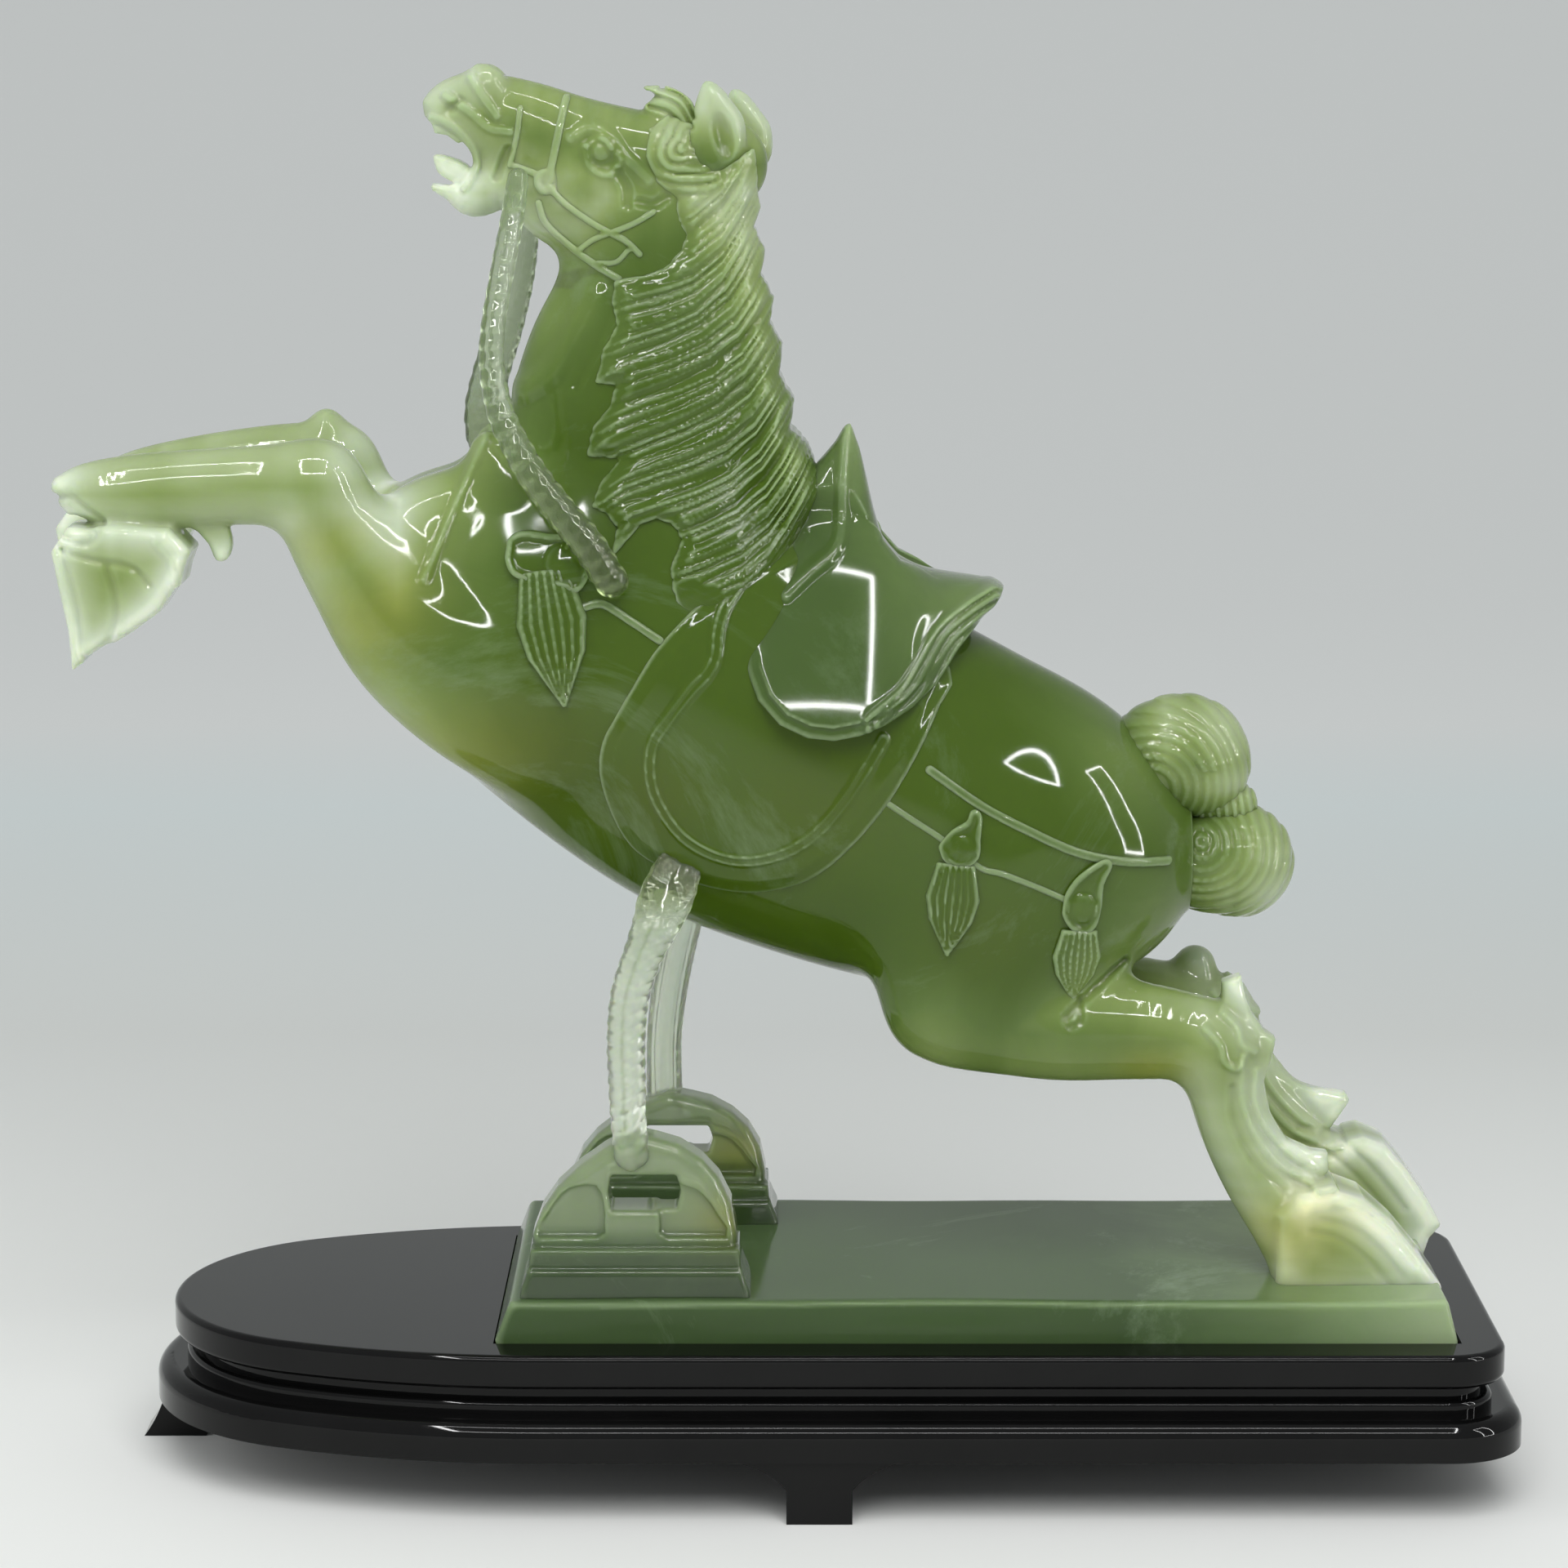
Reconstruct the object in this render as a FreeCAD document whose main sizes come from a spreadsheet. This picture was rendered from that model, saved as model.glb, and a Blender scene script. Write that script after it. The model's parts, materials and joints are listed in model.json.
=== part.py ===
"""Carved jade horse on a lacquered wooden stand, as a parametric FreeCAD document.

Frame: millimetres, +Z up, origin on the table under the middle of the object. The horse faces -X and
its left, or near, side is -Y. The stone rests in a recess of the stand's top and lifts straight out.
The stone is one carving: its nodes are the carved regions, each cut back to where the next one starts.
"""
import FreeCAD, Part

import math
import os

from FreeCAD import Placement, Rotation, Vector

OUT = "parts"
NEAR, FAR = -1, 1
SIDES = {"near": NEAR, "far": FAR}

# Driving dimensions in millimetres, kept in the document's spreadsheet.
DIMENSIONS = {
    # stand, from the table up
    "stand_centre_x": 7.0,
    "stand_length": 289.6,
    "stand_depth": 104.0,
    "nose_radius": 44.0,
    "flank_radius": 150.0,
    "corner_radius": 13.0,
    "foot_height": 7.5,
    "foot_width": 14.0,
    "foot_depth": 11.0,
    "foot_bracket_reach": 15.0,
    "foot_inset": 2.5,
    "front_foot_x": 5.0,
    "end_foot_reach": 146.5,
    "end_foot_y": 10.0,
    "end_foot_flare": 5.8,
    "apron_bottom": 13.8,
    "rim_top": 22.3,
    "rim_overhang": 4.0,
    "rim_wall": 10.0,
    "rim_floor": 2.5,
    "rim_round": 3.6,
    "bead_top": 25.3,
    "bead_inset": 2.5,
    "bead_round": 1.2,
    "waist_top": 28.5,
    "waist_inset": 5.0,
    "stand_top": 36.0,
    "top_round": 1.4,
    "top_under_round": 1.6,
    "recess_depth": 3.0,
    "recess_gap": 0.4,
    "rim_joint_x": 18.0,
    # plinth
    "plinth_centre_x": 38.8,
    "plinth_length": 206.0,
    "plinth_depth": 84.0,
    "plinth_top": 45.5,
    "plinth_bevel": 1.6,
    # horse: the largest half height and half width of each region
    "torso_half_height": 44.0,
    "torso_half_width": 30.0,
    "neck_half_depth": 29.0,
    "neck_half_width": 20.0,
    "mane_half_depth": 23.0,
    "mane_half_width": 22.0,
    "head_half_height": 17.5,
    "head_half_width": 13.0,
    "muzzle_half_height": 8.5,
    "muzzle_half_width": 8.4,
    "jaw_half_height": 7.6,
    "jaw_half_width": 7.5,
    "ear_half_depth": 4.8,
    "ear_half_width": 3.6,
    "tuft_half_height": 4.5,
    "tuft_half_width": 3.5,
    "forearm_half_depth": 17.0,
    "forearm_half_width": 12.0,
    "fore_shank_half_depth": 9.0,
    "fore_shank_half_width": 7.5,
    "hoof_half_depth": 14.5,
    "hoof_half_width": 10.5,
    "thigh_half_depth": 30.0,
    "thigh_half_width": 14.0,
    "gaskin_half_depth": 12.8,
    "gaskin_half_width": 9.5,
    "hind_shank_half_depth": 10.0,
    "hind_shank_half_width": 8.0,
    "tail_bun_radius": 12.0,
    "tail_tie_radius": 4.5,
    # harness
    "saddle_clearance": 3.6,
    "saddle_round_half_height": 74.0,
    "saddle_tilt": 23.0,
    "saddle_length": 130.0,
    "flap_radius": 33.5,
    "flap_thickness": 2.4,
    "strap_thickness": 1.3,
    "rein_radius": 3.0,
    "leather_radius": 3.9,
    "medallion_radius": 6.0,
    "medallion_thickness": 3.2,
    "tassel_half_width": 6.0,
    "tassel_half_thickness": 2.6,
    "stirrup_width": 45.0,
    "stirrup_depth": 16.0,
    "stirrup_slot_width": 14.0,
    "stirrup_slot_height": 7.0,
    "stirrup_step_height": 9.0,
    "stirrup_slot_rise": 9.5,
    "stirrup_arch_inset": 2.0,
}

# Regions as stations down their middle: x, y, z, share of the half height, share of the half width.
TORSO = [
    (-91.5, 0, 203, 0.07, 0.10),
    (-86, 0, 201, 0.28, 0.36),
    (-76, 0, 196, 0.55, 0.62),
    (-58, 0, 188, 0.82, 0.84),
    (-36, 0, 178, 1.00, 0.94),
    (-12, 0, 163, 1.00, 0.98),
    (10, 0, 152, 0.95, 1.00),
    (30, 0, 144, 0.89, 0.98),
    (47, 0, 138, 0.82, 0.95),
    (62, 0, 134, 0.74, 0.88),
    (73, 0, 131, 0.50, 0.64),
    (80, 0, 128.5, 0.28, 0.38),
    (85.5, 0, 127, 0.07, 0.10),
]
NECK = [
    (-30, 0, 190, 0.90, 1.00),
    (-33, 0, 214, 1.00, 1.00),
    (-34, 0, 228, 1.00, 0.90),
    (-33, 0, 240, 0.91, 0.80),
    (-31, 0, 252, 0.78, 0.72),
    (-28.5, 0, 264, 0.64, 0.65),
    (-26.5, 0, 274, 0.52, 0.60),
    (-25.5, 0, 279, 0.42, 0.52),
]
MANE = [
    (-14, 0, 198, 0.96, 1.00),
    (-19, 0, 212, 1.00, 0.98),
    (-21, 0, 225, 0.98, 0.94),
    (-21.5, 0, 238, 0.91, 0.86),
    (-21, 0, 250, 0.80, 0.78),
    (-18, 0, 262, 0.69, 0.70),
    (-16.5, 0, 275, 0.62, 0.63),
    (-15.5, 0, 287, 0.46, 0.46),
    (-15.5, 0, 295, 0.24, 0.24),
]
HEAD = [
    (-14, 0, 285, 0.42, 0.55),
    (-25, 0, 281, 0.88, 0.92),
    (-38, 0, 280, 1.00, 1.00),
    (-48, 0, 282, 0.94, 0.88),
    (-57, 0, 285.5, 0.84, 0.76),
    (-64, 0, 288, 0.80, 0.70),
]
MUZZLE = [
    (-63.5, 0, 295, 0.96, 0.98),
    (-68, 0, 297.2, 0.90, 1.00),
    (-73, 0, 297.2, 0.72, 0.90),
    (-77.5, 0, 296.5, 0.50, 0.66),
    (-80.3, 0, 296, 0.16, 0.20),
]
JAW = [
    (-63.5, 0, 279.5, 0.80, 0.98),
    (-69, 0, 277.3, 0.64, 0.90),
    (-74, 0, 277.6, 0.38, 0.62),
    (-79, 0, 279.3, 0.14, 0.16),
]
EAR = [
    (-15.5, 9, 284, 0.80, 0.90),
    (-16, 10, 290, 1.00, 1.00),
    (-17, 10.5, 297, 0.66, 0.60),
    (-18.3, 10.5, 303.2, 0.12, 0.14),
]
FORELOCK = [
    (-32, 0, 293, 1.00, 1.00),
    (-35, 0, 298.5, 0.80, 0.90),
    (-39, 0, 301.5, 0.18, 0.18),
]
# Leg stations give y as the distance from the middle plane.
FOREARM = [
    (-58, 15, 176, 1.00, 1.00),
    (-73, 16.5, 184, 0.84, 1.00),
    (-85, 17.5, 196, 0.62, 0.85),
    (-95, 18, 208, 0.50, 0.72),
    (-101, 18, 217, 0.52, 0.66),
]
FORE_SHANK = [
    (-98, 18, 219.5, 0.84, 0.92),
    (-108, 18, 218.5, 1.00, 1.00),
    (-122, 18, 216.5, 0.90, 0.88),
    (-136, 18, 216, 0.90, 0.88),
    (-148, 18, 216, 0.84, 0.84),
    (-157, 18, 217.5, 0.22, 0.30),
]
FORE_HOOF = [
    (-140.5, 18, 214, 0.86, 0.70),
    (-142, 18, 206, 1.00, 0.82),
    (-144.5, 18, 197.5, 0.97, 0.94),
    (-145.5, 18, 190, 0.93, 1.00),
    (-143, 18, 185.5, 0.90, 1.00),
]
THIGH = [
    (58, 12, 143, 0.66, 0.80),
    (46, 14.5, 128, 0.98, 1.00),
    (34, 16.5, 114, 0.80, 1.00),
    (25, 17.5, 104, 0.42, 0.74),
]
GASKIN = [
    (19, 17.5, 104, 0.50, 0.74),
    (27, 17.5, 102.5, 0.92, 1.00),
    (42, 17.5, 101, 1.00, 1.00),
    (58, 17.5, 100, 1.00, 1.00),
    (75, 18, 98.5, 0.90, 0.92),
    (89, 18, 96.5, 0.86, 0.86),
    (99, 18, 93, 0.50, 0.70),
]
HIND_SHANK = [
    (88, 18, 93, 0.90, 1.00),
    (95, 18, 82, 0.94, 1.00),
    (102, 18, 69, 0.94, 0.96),
    (108, 18, 60, 1.00, 1.00),
    (113, 18, 54, 1.00, 1.00),
]
HIND_HOOF = [
    (108, 18, 58, 0.62, 0.80),
    (117, 18, 54.5, 0.84, 0.94),
    (127, 18, 50, 0.84, 1.00),
    (136, 18, 46.5, 0.52, 0.90),
]
# How far the far legs are ahead of or above the near ones: x, z.
FAR_SHIFT = {"fore": (3.0, 1.5), "hind": (5.0, 1.0)}
TAIL_TIE = [(90, 0, 150), (93, 0, 144.5), (96.5, 0, 138)]
# Carved harness, as stations of x, y, z down its middle. y is the distance from the middle plane.
REIN = [
    (-57, 11, 282),
    (-60, 15, 271),
    (-64, 19, 259),
    (-64.5, 22, 247),
    (-61, 24, 231),
    (-54.5, 26, 217),
    (-45, 28, 205),
    (-37, 29.5, 196),
]
NEAR_LEATHER = [
    (-25, 29, 138),
    (-31, 30.5, 128),
    (-36, 31, 118),
    (-39, 31, 105),
    (-39, 31, 92),
    (-36.5, 30.5, 78),
    (-35, 30, 72),
]
FAR_LEATHER = [
    (-20, 28.5, 134),
    (-22, 30.5, 120),
    (-23.5, 31, 108),
    (-26, 31, 94),
    (-29, 31, 80),
    (-30.5, 30, 72),
]
# Side-view outlines in x, z. The saddle's corners are joined by a smooth curve between its two peaks.
SADDLE_SKIRT = [
    (6.5, 222),
    (-1.5, 212),
    (-6.8, 198),
    (-7.6, 180),
    (-1, 168),
    (11, 165.5),
    (21, 171),
    (31.7, 185.5),
]
SADDLE_SEAT = [(46.5, 194), (32, 196), (22, 201), (15.5, 212), (11.6, 228.5)]
CANTLE_BACK = (44.5, 183)
# The saddle's underside is round about a line through this point, x, z, that slopes down with the back.
SADDLE_ROUND_START = (-48, 180)
FLAP_CENTRE = (-6.5, 165)
BREAST_STRAP = [(-52, 200), (-37, 193), (-24, 181), (-22, 173), (-38, 184), (-55, 192)]
CROUP_STRAP = [
    (20, 166),
    (47, 148.5),
    (70, 141),
    (86, 136.5),
    (86, 134),
    (70, 138.6),
    (46, 146),
    (20, 163.4),
]
HIP_STRAP = [
    (16, 156.4),
    (31, 147.5),
    (40, 134.6),
    (60, 130),
    (59, 127.8),
    (38, 132.4),
    (29, 146),
    (15, 154),
]
# The bridle's side view: a noseband and a crown band joined by a cheek strap, from the top left.
BRIDLE = [
    (-58, 304),
    (-54, 304),
    (-52.5, 286),
    (-28, 286),
    (-27, 304),
    (-23, 304),
    (-22, 260),
    (-26, 260),
    (-27.5, 282.5),
    (-52.5, 282.5),
    (-51.5, 262),
    (-55.5, 262),
]
# A tassel's stations: share of the way across and of the way down to its tip, then of its half width
# and half thickness.
TASSEL = [
    (0.00, 0.11, 0.80, 0.80),
    (0.30, 0.45, 1.00, 1.00),
    (0.80, 0.75, 0.66, 0.80),
    (1.00, 1.00, 0.10, 0.20),
]
# Medallion centre x, z, then the tassel's tip x, z.
MEDALLIONS = {
    "breast": ((-48.5, 202), (-48, 174)),
    "hip": ((34, 144), (32.5, 119)),
    "buttock": ((60, 132.5), (58.5, 108)),
}
STIRRUP_ARCH = [
    (-21.5, 0),
    (-20, 8),
    (-15, 17.5),
    (-8, 23.5),
    (0, 26),
    (8, 23.5),
    (15, 17.5),
    (20, 8),
    (21.5, 0),
]
STIRRUP_X = {"near": -34.5, "far": -28.5}
STIRRUP_Y = 29.0
# How far the trunk's surface is from the middle plane under each medallion.
MEDALLION_Y = {"breast": 27.0, "hip": 28.5, "buttock": 27.2}
# The tail's two rolled buns: centre x, z.
TAIL_BUNS = {"upper": (89.5, 156.5), "lower": (98.5, 132)}
# Prisms that are cut back to a skin start inside it and run well clear of it.
BRIDLE_REACH = 25.0
LAYER_INNER, LAYER_OUTER = 8.0, 45.0

# An ellipse's minor radius is kept this share under its major one, so its axes stay where they are set.
NEARLY_ROUND = 0.995

doc = FreeCAD.newDocument("jade_horse")


def make_sheet():
    """The spreadsheet of driving dimensions; each cell has the dimension's name as its alias."""
    made = doc.addObject("Spreadsheet::Sheet", "Dims")
    for row, (alias, value) in enumerate(DIMENSIONS.items(), start=1):
        made.set(f"A{row}", alias)
        made.set(f"B{row}", str(value))
        made.setAlias(f"B{row}", alias)
    doc.recompute()
    return made


sheet = make_sheet()
nodes = []


def dim(alias):
    """The value of one driving dimension."""
    return float(sheet.get(alias))


def keep(obj, name):
    """Names a finished sub-part and adds it to what is exported."""
    obj.Label = name
    nodes.append(obj)
    return obj


def feature(kind, name, placement=None, **sizes):
    """A Part primitive or operation. A size given as text is an expression over the sheet."""
    made = doc.addObject(kind, name)
    for key, value in sizes.items():
        if isinstance(value, str):
            made.setExpression(key, value)
        else:
            setattr(made, key, value)
    if placement is not None:
        made.Placement = placement
    return made


def cut(name, base, tools):
    """base with each of the tools taken away, as a chain of Part::Cut features."""
    for i, tool in enumerate(tools):
        base = feature("Part::Cut", f"{name}_cut_{i}", Base=base, Tool=tool)
    doc.recompute()
    return base


def common(name, first, second):
    """What two solids share."""
    made = feature("Part::Common", name, Base=first, Tool=second)
    doc.recompute()
    return made


def station_frames(points):
    """A placement at each point: X along the section's height, Y across it, Z along the path."""
    frames = []
    for i, here in enumerate(points):
        before = points[max(i - 1, 0)]
        after = points[min(i + 1, len(points) - 1)]
        along = (after - before).normalize()
        across = (Vector(0, 1, 0) - along * along.y).normalize()
        height = across.cross(along)
        frames.append(Placement(here, Rotation(height, across, along, "ZXY")))
    return frames


def loft(name, stations, height, width, side=1, grow=0.0):
    """A solid lofted through ellipses. Their half axes are shares of two dimensions of the sheet."""
    points = [Vector(x, y * side, z) for x, y, z, _, _ in stations]
    sections = []
    for i, (frame, station) in enumerate(zip(station_frames(points), stations)):
        tall, wide = station[3] * dim(height), station[4] * dim(width)
        radii = {
            "MajorRadius": f"Dims.{height} * {station[3]} + {grow}",
            "MinorRadius": f"Dims.{width} * {station[4]} + {grow}",
        }
        if wide >= tall:
            radii["MinorRadius"] = f"Dims.{height} * {NEARLY_ROUND * station[3]} + {grow}"
        sections.append(feature("Part::Ellipse", f"{name}_ring_{i}", frame, **radii))
    made = feature("Part::Loft", f"{name}_loft", Sections=sections, Solid=True, Ruled=False)
    doc.recompute()
    return made


def rope(name, stations, radius, side=1):
    """A round rope along a path: a loft through equal circles."""
    return loft(name, [(*p, 1.0, 0.99) for p in stations], radius, radius, side)


def prism(name, outline, low, high):
    """A sketch of a closed side view, pushed along Y between two distances from the middle plane."""
    sketch = doc.addObject("Sketcher::SketchObject", f"{name}_side_view")
    sketch.Placement = Placement(Vector(0, 0, 0), Rotation(Vector(1, 0, 0), 90))
    for piece in outline:
        sketch.addGeometry(piece, False)
    made = feature("Part::Extrusion", f"{name}_prism", Base=sketch, Solid=True)
    made.DirMode = "Custom"
    made.Dir = Vector(0, 1, 0)
    made.LengthFwd = high
    made.LengthRev = -low
    doc.recompute()
    return made


def side_points(points):
    """Side-view points x, z as a sketch's own x, y."""
    return [Vector(x, z, 0) for x, z in points]


def line(start, end):
    """One straight edge between two side-view points."""
    return Part.LineSegment(*side_points([start, end]))


def polygon(points):
    """Straight edges round a side-view outline."""
    return [line(a, b) for a, b in zip(points, points[1:] + points[:1])]


def curve(points):
    """One smooth edge through side-view points."""
    spline = Part.BSplineCurve()
    spline.interpolate(side_points(points))
    return spline


# ---- stand ----------------------------------------------------------------------------------------


def outline_edges(grow):
    """The stand's plan grown outwards by grow: a round nose at -X, long flanks, rounded corners at +X."""
    half = dim("stand_depth") / 2 + grow
    left = dim("stand_centre_x") - dim("stand_length") / 2 - grow
    right = dim("stand_centre_x") + dim("stand_length") / 2 + grow
    nose, flank, corner = (dim(a) + grow for a in ("nose_radius", "flank_radius", "corner_radius"))
    nose_x = left + nose
    flank_x = nose_x + math.sqrt((flank - nose) ** 2 - (flank - half) ** 2)
    flank_centre = Vector(flank_x, half - flank, 0)
    towards = (Vector(nose_x, 0, 0) - flank_centre).normalize()
    meet = flank_centre + towards * flank
    middle = (towards + Vector(0, 1, 0)).normalize()
    bend = flank_centre + middle * flank
    slant = corner * math.sqrt(0.5)
    upper = [
        Part.LineSegment(Vector(flank_x, half, 0), Vector(right - corner, half, 0)),
        Part.Arc(
            Vector(right - corner, half, 0),
            Vector(right - corner + slant, half - corner + slant, 0),
            Vector(right, half - corner, 0),
        ),
    ]

    def mirror(v):
        return Vector(v.x, -v.y, 0)

    return [
        Part.Arc(meet, bend, Vector(flank_x, half, 0)),
        *upper,
        Part.LineSegment(Vector(right, half - corner, 0), Vector(right, corner - half, 0)),
        Part.Arc(
            Vector(right, corner - half, 0),
            Vector(right - corner + slant, corner - half - slant, 0),
            Vector(right - corner, -half, 0),
        ),
        Part.LineSegment(Vector(right - corner, -half, 0), Vector(flank_x, -half, 0)),
        Part.Arc(Vector(flank_x, -half, 0), mirror(bend), mirror(meet)),
        Part.Arc(mirror(meet), Vector(left, 0, 0), meet),
    ]


def origin_plane(body, role):
    """One of a body's own origin planes."""
    return next(f for f in body.Origin.OriginFeatures if f.Role == role)


def sketch_on_xy(body, name, height, geometry):
    """A sketch on the body's XY plane, lifted to a height given as an expression."""
    made = body.newObject("Sketcher::SketchObject", name)
    made.AttachmentSupport = [(origin_plane(body, "XY_Plane"), "")]
    made.MapMode = "FlatFace"
    made.setExpression("AttachmentOffset.Base.z", height)
    for piece in geometry:
        made.addGeometry(piece, False)
    doc.recompute()
    return made


def pad(body, sketch, length):
    """Pads a sketch upwards by a length given as an expression."""
    made = body.newObject("PartDesign::Pad", sketch.Name + "_pad")
    made.Profile = sketch
    made.setExpression("Length", length)
    doc.recompute()
    return made


def pocket(body, sketch, length, upwards=False):
    """Cuts a sketch downwards, or upwards, by a length given as an expression."""
    before = body.Shape.Volume
    made = body.newObject("PartDesign::Pocket", sketch.Name + "_pocket")
    made.Profile = sketch
    made.Reversed = upwards
    made.setExpression("Length", length)
    doc.recompute()
    if not body.Shape.Volume < before - 1:
        raise RuntimeError(f"{sketch.Name} cut nothing")
    return made


def edges_at(body, height):
    """The names of the edges that lie flat at a height."""
    return [
        f"Edge{i}"
        for i, edge in enumerate(body.Shape.Edges, start=1)
        if abs(edge.BoundBox.ZMin - height) < 1e-4 and abs(edge.BoundBox.ZMax - height) < 1e-4
    ]


def round_edges(body, level, radius):
    """Rounds the edges at one height of the sheet by one of its radii."""
    edges = edges_at(body, dim(level))
    solid = body.Tip
    made = body.newObject("PartDesign::Fillet", f"{body.Name}_{radius}")
    made.Base = (solid, edges)
    made.setExpression("Radius", f"Dims.{radius}")
    doc.recompute()
    return made


def rectangle(low_x, high_x, low_y, high_y):
    """Four line segments round a rectangle."""
    plan = ((low_x, low_y), (high_x, low_y), (high_x, high_y), (low_x, high_y))
    corners = [Vector(x, y, 0) for x, y in plan]
    return [Part.LineSegment(a, b) for a, b in zip(corners, corners[1:] + corners[:1])]


def slab(name, grow, bottom, top):
    """A body that is the stand's plan between two heights of the sheet."""
    body = doc.addObject("PartDesign::Body", name)
    sketch = sketch_on_xy(body, f"{name}_plan", f"Dims.{bottom}", outline_edges(grow))
    pad(body, sketch, f"Dims.{top} - Dims.{bottom}")
    return body


def make_stand_top():
    """The top board, with the recess that the stone's plinth drops into."""
    body = slab("stand_top", 0, "waist_top", "stand_top")
    round_edges(body, "stand_top", "top_round")
    round_edges(body, "waist_top", "top_under_round")
    half_x = dim("plinth_length") / 2 + dim("recess_gap")
    half_y = dim("plinth_depth") / 2 + dim("recess_gap")
    centre = dim("plinth_centre_x")
    plan = rectangle(centre - half_x, centre + half_x, -half_y, half_y)
    sketch = sketch_on_xy(body, "recess_plan", "Dims.stand_top", plan)
    pocket(body, sketch, "Dims.recess_depth")
    keep(body, "stand_top_board")


def make_waist():
    """The set-back waist under the top board and the thin bead below it."""
    keep(slab("waist", -dim("waist_inset"), "bead_top", "waist_top"), "stand_waist")
    bead = slab("bead", -dim("bead_inset"), "rim_top", "bead_top")
    round_edges(bead, "bead_top", "bead_round")
    keep(bead, "stand_bead")


def make_rim():
    """The base rim, hollow underneath, in two halves that butt together to the right of the middle."""
    seam = dim("rim_joint_x")
    far_x, far_y = dim("stand_length"), dim("stand_depth")
    for name, low, high in (("left", seam, far_x), ("right", -far_x, seam)):
        body = slab(f"rim_{name}", dim("rim_overhang"), "apron_bottom", "rim_top")
        round_edges(body, "rim_top", "rim_round")
        inside = outline_edges(-dim("rim_wall"))
        hollow = sketch_on_xy(body, f"rim_{name}_hollow", "Dims.apron_bottom", inside)
        pocket(body, hollow, "Dims.rim_top - Dims.apron_bottom - Dims.rim_floor", upwards=True)
        rest = sketch_on_xy(body, f"rim_{name}_split", "Dims.rim_top", rectangle(low, high, -far_y, far_y))
        pocket(body, rest, "Dims.rim_top")
        keep(body, f"base_rim_{name}")


def make_side_foot(name, y):
    """A foot block with the curved bracket that spreads it up into the rim."""
    half, height, reach = dim("foot_width") / 2, dim("foot_height"), dim("foot_bracket_reach")
    under = dim("apron_bottom")
    # A third of the way out the bracket's curve is two thirds of the way up.
    knee_x, knee_z = half + reach / 3, height + (under - height) * 2 / 3
    edges = [
        line((-half, 0), (half, 0)),
        line((half, 0), (half, height)),
        Part.Arc(*side_points([(half, height), (knee_x, knee_z), (half + reach, under)])),
        line((half + reach, under), (-half - reach, under)),
        Part.Arc(*side_points([(-half - reach, under), (-knee_x, knee_z), (-half, height)])),
        line((-half, height), (-half, 0)),
    ]
    place_foot(name, edges, dim("front_foot_x"), y)


def make_end_foot(name, x, outwards):
    """A foot under one end of the rim, flaring outwards to its toe."""
    half = outwards * dim("foot_width") / 2
    under = dim("apron_bottom")
    ankle = half - outwards * dim("end_foot_flare")
    # Half way up, the flare has already come in by two thirds.
    shin = (half + (ankle - half) * 2 / 3, under / 2)
    edges = [
        line((-half, 0), (half, 0)),
        Part.Arc(*side_points([(half, 0), shin, (ankle, under)])),
        line((ankle, under), (-half, under)),
        line((-half, under), (-half, 0)),
    ]
    place_foot(name, edges, x, dim("end_foot_y"))


def place_foot(name, edges, x, y):
    """Pushes a foot's side view to its depth and sets it on the table."""
    half_depth = dim("foot_depth") / 2
    made = prism(name, edges, -half_depth, half_depth)
    made.Placement = Placement(Vector(x, y, 0), Rotation())
    keep(made, name)


def make_feet():
    """Four feet: in the middle of each long side and under each end."""
    side_y = dim("stand_depth") / 2 - dim("foot_inset")
    middle, reach = dim("stand_centre_x"), dim("end_foot_reach")
    make_side_foot("front_foot", -side_y)
    make_side_foot("back_foot", side_y)
    make_end_foot("left_foot", middle - reach, -1)
    make_end_foot("right_foot", middle + reach, 1)


# ---- stone ----------------------------------------------------------------------------------------


def make_plinth():
    """The flat block of stone under the horse, with its upper edges chamfered."""
    body = doc.addObject("PartDesign::Body", "plinth_body")
    half_x, half_y = dim("plinth_length") / 2, dim("plinth_depth") / 2
    centre = dim("plinth_centre_x")
    plan = rectangle(centre - half_x, centre + half_x, -half_y, half_y)
    sketch = sketch_on_xy(body, "plinth_plan", "Dims.stand_top - Dims.recess_depth", plan)
    pad(body, sketch, "Dims.plinth_top - Dims.stand_top + Dims.recess_depth")
    edges = edges_at(body, dim("plinth_top"))
    solid = body.Tip
    bevel = body.newObject("PartDesign::Chamfer", "plinth_chamfer")
    bevel.Base = (solid, edges)
    bevel.setExpression("Size", "Dims.plinth_bevel")
    doc.recompute()
    return keep(body, "plinth")


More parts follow.
